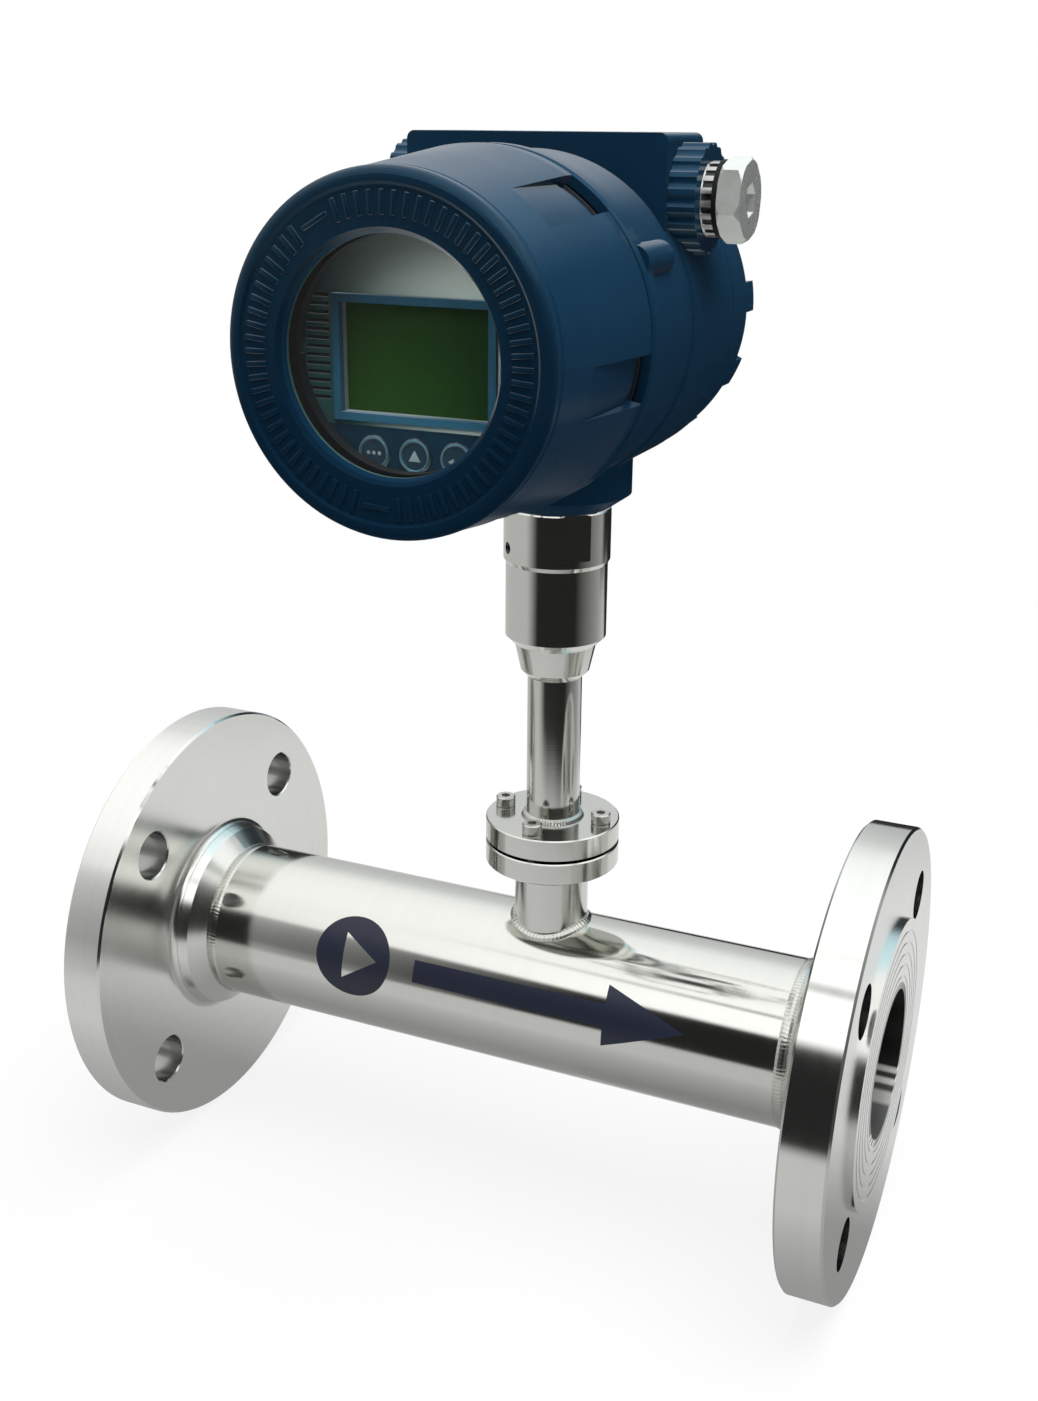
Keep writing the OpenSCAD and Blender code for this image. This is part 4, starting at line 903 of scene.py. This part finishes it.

# Display plate: a plate under a printed film, silver over navy, with painted shade in the slots
# beside the panel. The silver carries painted light and shade, darker towards the left and the
# bottom.
film_silver = (0.82, 0.88, 0.85, 1)
film_painted_shadow = (0.03, 0.095, 0.095, 1)
film_navy = (0.007, 0.030, 0.055, 1)
slot_painted_shade = (0.008, 0.014, 0.016, 1)
film_rough = (0.28, 0.4)
film_grain = 1200.0
film_sheen = 0.12
plate_face = 0.101
slot_depth = 0.0003
navy_line = head_z - 0.0208
line_blur = 0.0001
slant_share = 0.35
slant_middle = probe_x + head_z * slant_share
painted_shade_edge = (slant_middle - 0.026, slant_middle + 0.022)
plate_film, tree, shader = fresh("plate_film")
parts = placed_parts(tree)
low = stepped(tree, parts[2], (navy_line + line_blur, navy_line - line_blur))
# painted light and shade: the silver darkens towards the left and the bottom
slant = maths(tree, "MULTIPLY_ADD", parts[2], slant_share, parts[0])
silver = tint(tree, stepped(tree, slant, painted_shade_edge), film_painted_shadow, film_silver)
# painted shade in the slots beside the panel
in_slot = maths(tree, "GREATER_THAN", parts[1], slot_depth - plate_face)
slotted = tint(tree, in_slot, silver, slot_painted_shade)
tree.links.new(tint(tree, low, slotted, film_navy), shader.inputs["Base Color"])
speck = noise(tree, film_grain, detail=2.0)
tree.links.new(between(tree, speck, *film_rough), shader.inputs["Roughness"])
shader.inputs["Specular IOR Level"].default_value = film_sheen
dress(plate_film, "display_plate")

# Liquid crystal panel: dark green glass, switched off, with its grid of cells and painted light
# that makes it lighter towards the left, in a moulded blue frame.
lcd_lit_and_shaded_tones = ((0.020, 0.064, 0.009, 1), (0.008, 0.030, 0.010, 1))
cell_tone = (0.04, 0.1, 0.02, 1)
cell_grain = 2400.0
cell_share = 0.3
lcd_light_edge = (probe_x - 0.024, probe_x + 0.024)
lcd_rough = 0.18
lcd_sheen = 0.08
frame_tones = ((0.02, 0.09, 0.16, 1), (0.03, 0.12, 0.2, 1))
frame_rough = (0.3, 0.42)
frame_grain = 1500.0
frame_sheen = 0.2
lcd_green, tree, shader = fresh("lcd_green")
# painted light: the panel is lighter at the left and darker at the right
green_with_painted_light = tint(tree, stepped(tree, placed_parts(tree)[0], lcd_light_edge), *lcd_lit_and_shaded_tones)
cells = maths(tree, "MULTIPLY", noise(tree, cell_grain, detail=1.0), cell_share)
tree.links.new(tint(tree, cells, green_with_painted_light, cell_tone), shader.inputs["Base Color"])
shader.inputs["Roughness"].default_value = lcd_rough
shader.inputs["Specular IOR Level"].default_value = lcd_sheen
dress(lcd_green, "lcd_panel")
blue_plastic, tree, shader, _ = grained(
    "blue_plastic", frame_tones, frame_rough, frame_grain, detail=2.0)
shader.inputs["Specular IOR Level"].default_value = frame_sheen
dress(blue_plastic, "lcd_frame")

# Keys: three round navy caps with a paler raised rim, each printed with a plain symbol, a row
# of dots, a triangle and a bent arrow. They press in half a millimetre.
key_face = 0.1015
key_rim_lift = 0.0001
key_places = {"left_key": -0.0126, "middle_key": 0.0, "right_key": 0.0126}
key_up = -0.028
key_tones = ((0.006, 0.024, 0.045, 1), (0.010, 0.034, 0.058, 1))
key_rim_pale = (0.06, 0.14, 0.19, 1)
key_rough = (0.34, 0.46)
key_grain = 1500.0
symbol_pale = (0.30, 0.38, 0.40, 1)
symbol_thinner = 0.8
symbol_rough = 0.5
symbol_grain = 2500.0
symbol_lift = 0.00008
dot_sides = 16
dot_r = 0.00055
dot_step = 0.0017
triangle_r = 0.0021
triangle_up = -0.0004

key_navy, tree, shader, _ = grained("key_navy", key_tones, key_rough, key_grain, detail=2.0)
cap = shader.inputs["Base Color"].links[0].from_socket
on_rim = maths(tree, "LESS_THAN", placed_parts(tree)[1], -key_face - key_rim_lift)
tree.links.new(tint(tree, on_rim, cap, key_rim_pale), shader.inputs["Base Color"])
dress(key_navy, "left_key", "middle_key", "right_key")
key_ink, tree, shader = fresh("key_ink")
speck = noise(tree, symbol_grain, detail=2.0)
ink = tint(tree, speck, scaled(symbol_pale, symbol_thinner), symbol_pale)
tree.links.new(ink, shader.inputs["Base Color"])
shader.inputs["Roughness"].default_value = symbol_rough


def printed_part(sides, radius, x, up, turn=0.0, stretch=(1, 1)):
    bpy.ops.object.select_all(action="DESELECT")
    bpy.ops.mesh.primitive_cylinder_add(
        vertices=sides, radius=radius, depth=symbol_lift, location=(0, 0, 0), end_fill_type="NGON")
    part = bpy.context.object
    bpy.ops.object.mode_set(mode="EDIT")
    bpy.ops.mesh.select_all(action="SELECT")
    bpy.ops.mesh.bevel(offset=symbol_lift / 3, segments=1, affect="EDGES")
    bpy.ops.object.mode_set(mode="OBJECT")
    on_key = Matrix.Translation((probe_x + x, -key_face - symbol_lift / 2, head_z + up))
    upright = Matrix.Rotation(math.pi / 2, 4, "X")
    part.data.transform(
        on_key @ upright @ Matrix.Diagonal((*stretch, 1, 1)) @ Matrix.Rotation(turn, 4, "Z"))
    return part


def symbol(name, body, *printed_parts):
    alone(*printed_parts)
    if len(printed_parts) > 1:
        bpy.ops.object.join()
    made = bpy.context.object
    made.name = name
    made.data.materials.append(key_ink)
    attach(made, body)


symbol("left_key_symbol", "left_key", *(
    printed_part(dot_sides, dot_r, key_places["left_key"] + step * dot_step, key_up)
    for step in (-1, 0, 1)))
symbol("middle_key_symbol", "middle_key",
       printed_part(3, triangle_r, key_places["middle_key"], key_up + triangle_up))
# the bent arrow's shaft, its upright and its point: sides, radius, place on the key, turn, stretch
square = math.pi / 4
bent_arrow = [
    (4, 0.0007, 0.0004, -0.0006, square, (3.2, 0.5)),
    (4, 0.0007, 0.0018, 0.0003, square, (0.5, 1.8)),
    (3, 0.0011, -0.0013, -0.0006, math.pi / 2, (1, 1)),
]
symbol("right_key_symbol", "right_key", *(
    printed_part(sides, radius, key_places["right_key"] + aside, key_up + up, turn, stretch)
    for sides, radius, aside, up, turn, stretch in bent_arrow))

# Electronics behind the plate: two lacquered green boards on brass-coloured spacers, with
# black moulded key switches, transformer and lead-through.
board_tones = ((0.01, 0.08, 0.03, 1), (0.02, 0.13, 0.05, 1))
board_rough = (0.35, 0.5)
board_grain = 260.0
spacer_tones = ((0.55, 0.4, 0.18, 1), (0.65, 0.48, 0.22, 1))
spacer_rough = (0.3, 0.45)
spacer_grain = 500.0
moulded_tones = ((0.007, 0.007, 0.008, 1), (0.014, 0.014, 0.015, 1))
moulded_rough = (0.4, 0.55)
moulded_grain = 900.0
dress(grained("board_green", board_tones, board_rough, board_grain)[0], "main_board", "display_board")
dress(grained("spacer_brass", spacer_tones, spacer_rough, spacer_grain)[0], "board_spacers")
dress(grained("black_plastic", moulded_tones, moulded_rough, moulded_grain)[0],
      "key_switches", "transformer", "wire_feedthrough")

# Terminal compartment at the back: a row of screw clamps for the field wires, in one block of
# green plastic that stands on the wall between the two compartments.
terminal_tones = ((0.02, 0.16, 0.06, 1), (0.03, 0.22, 0.09, 1))
terminal_rough = (0.35, 0.5)
terminal_grain = 600.0
dress(grained("terminal_green", terminal_tones, terminal_rough, terminal_grain)[0], "terminal_block")
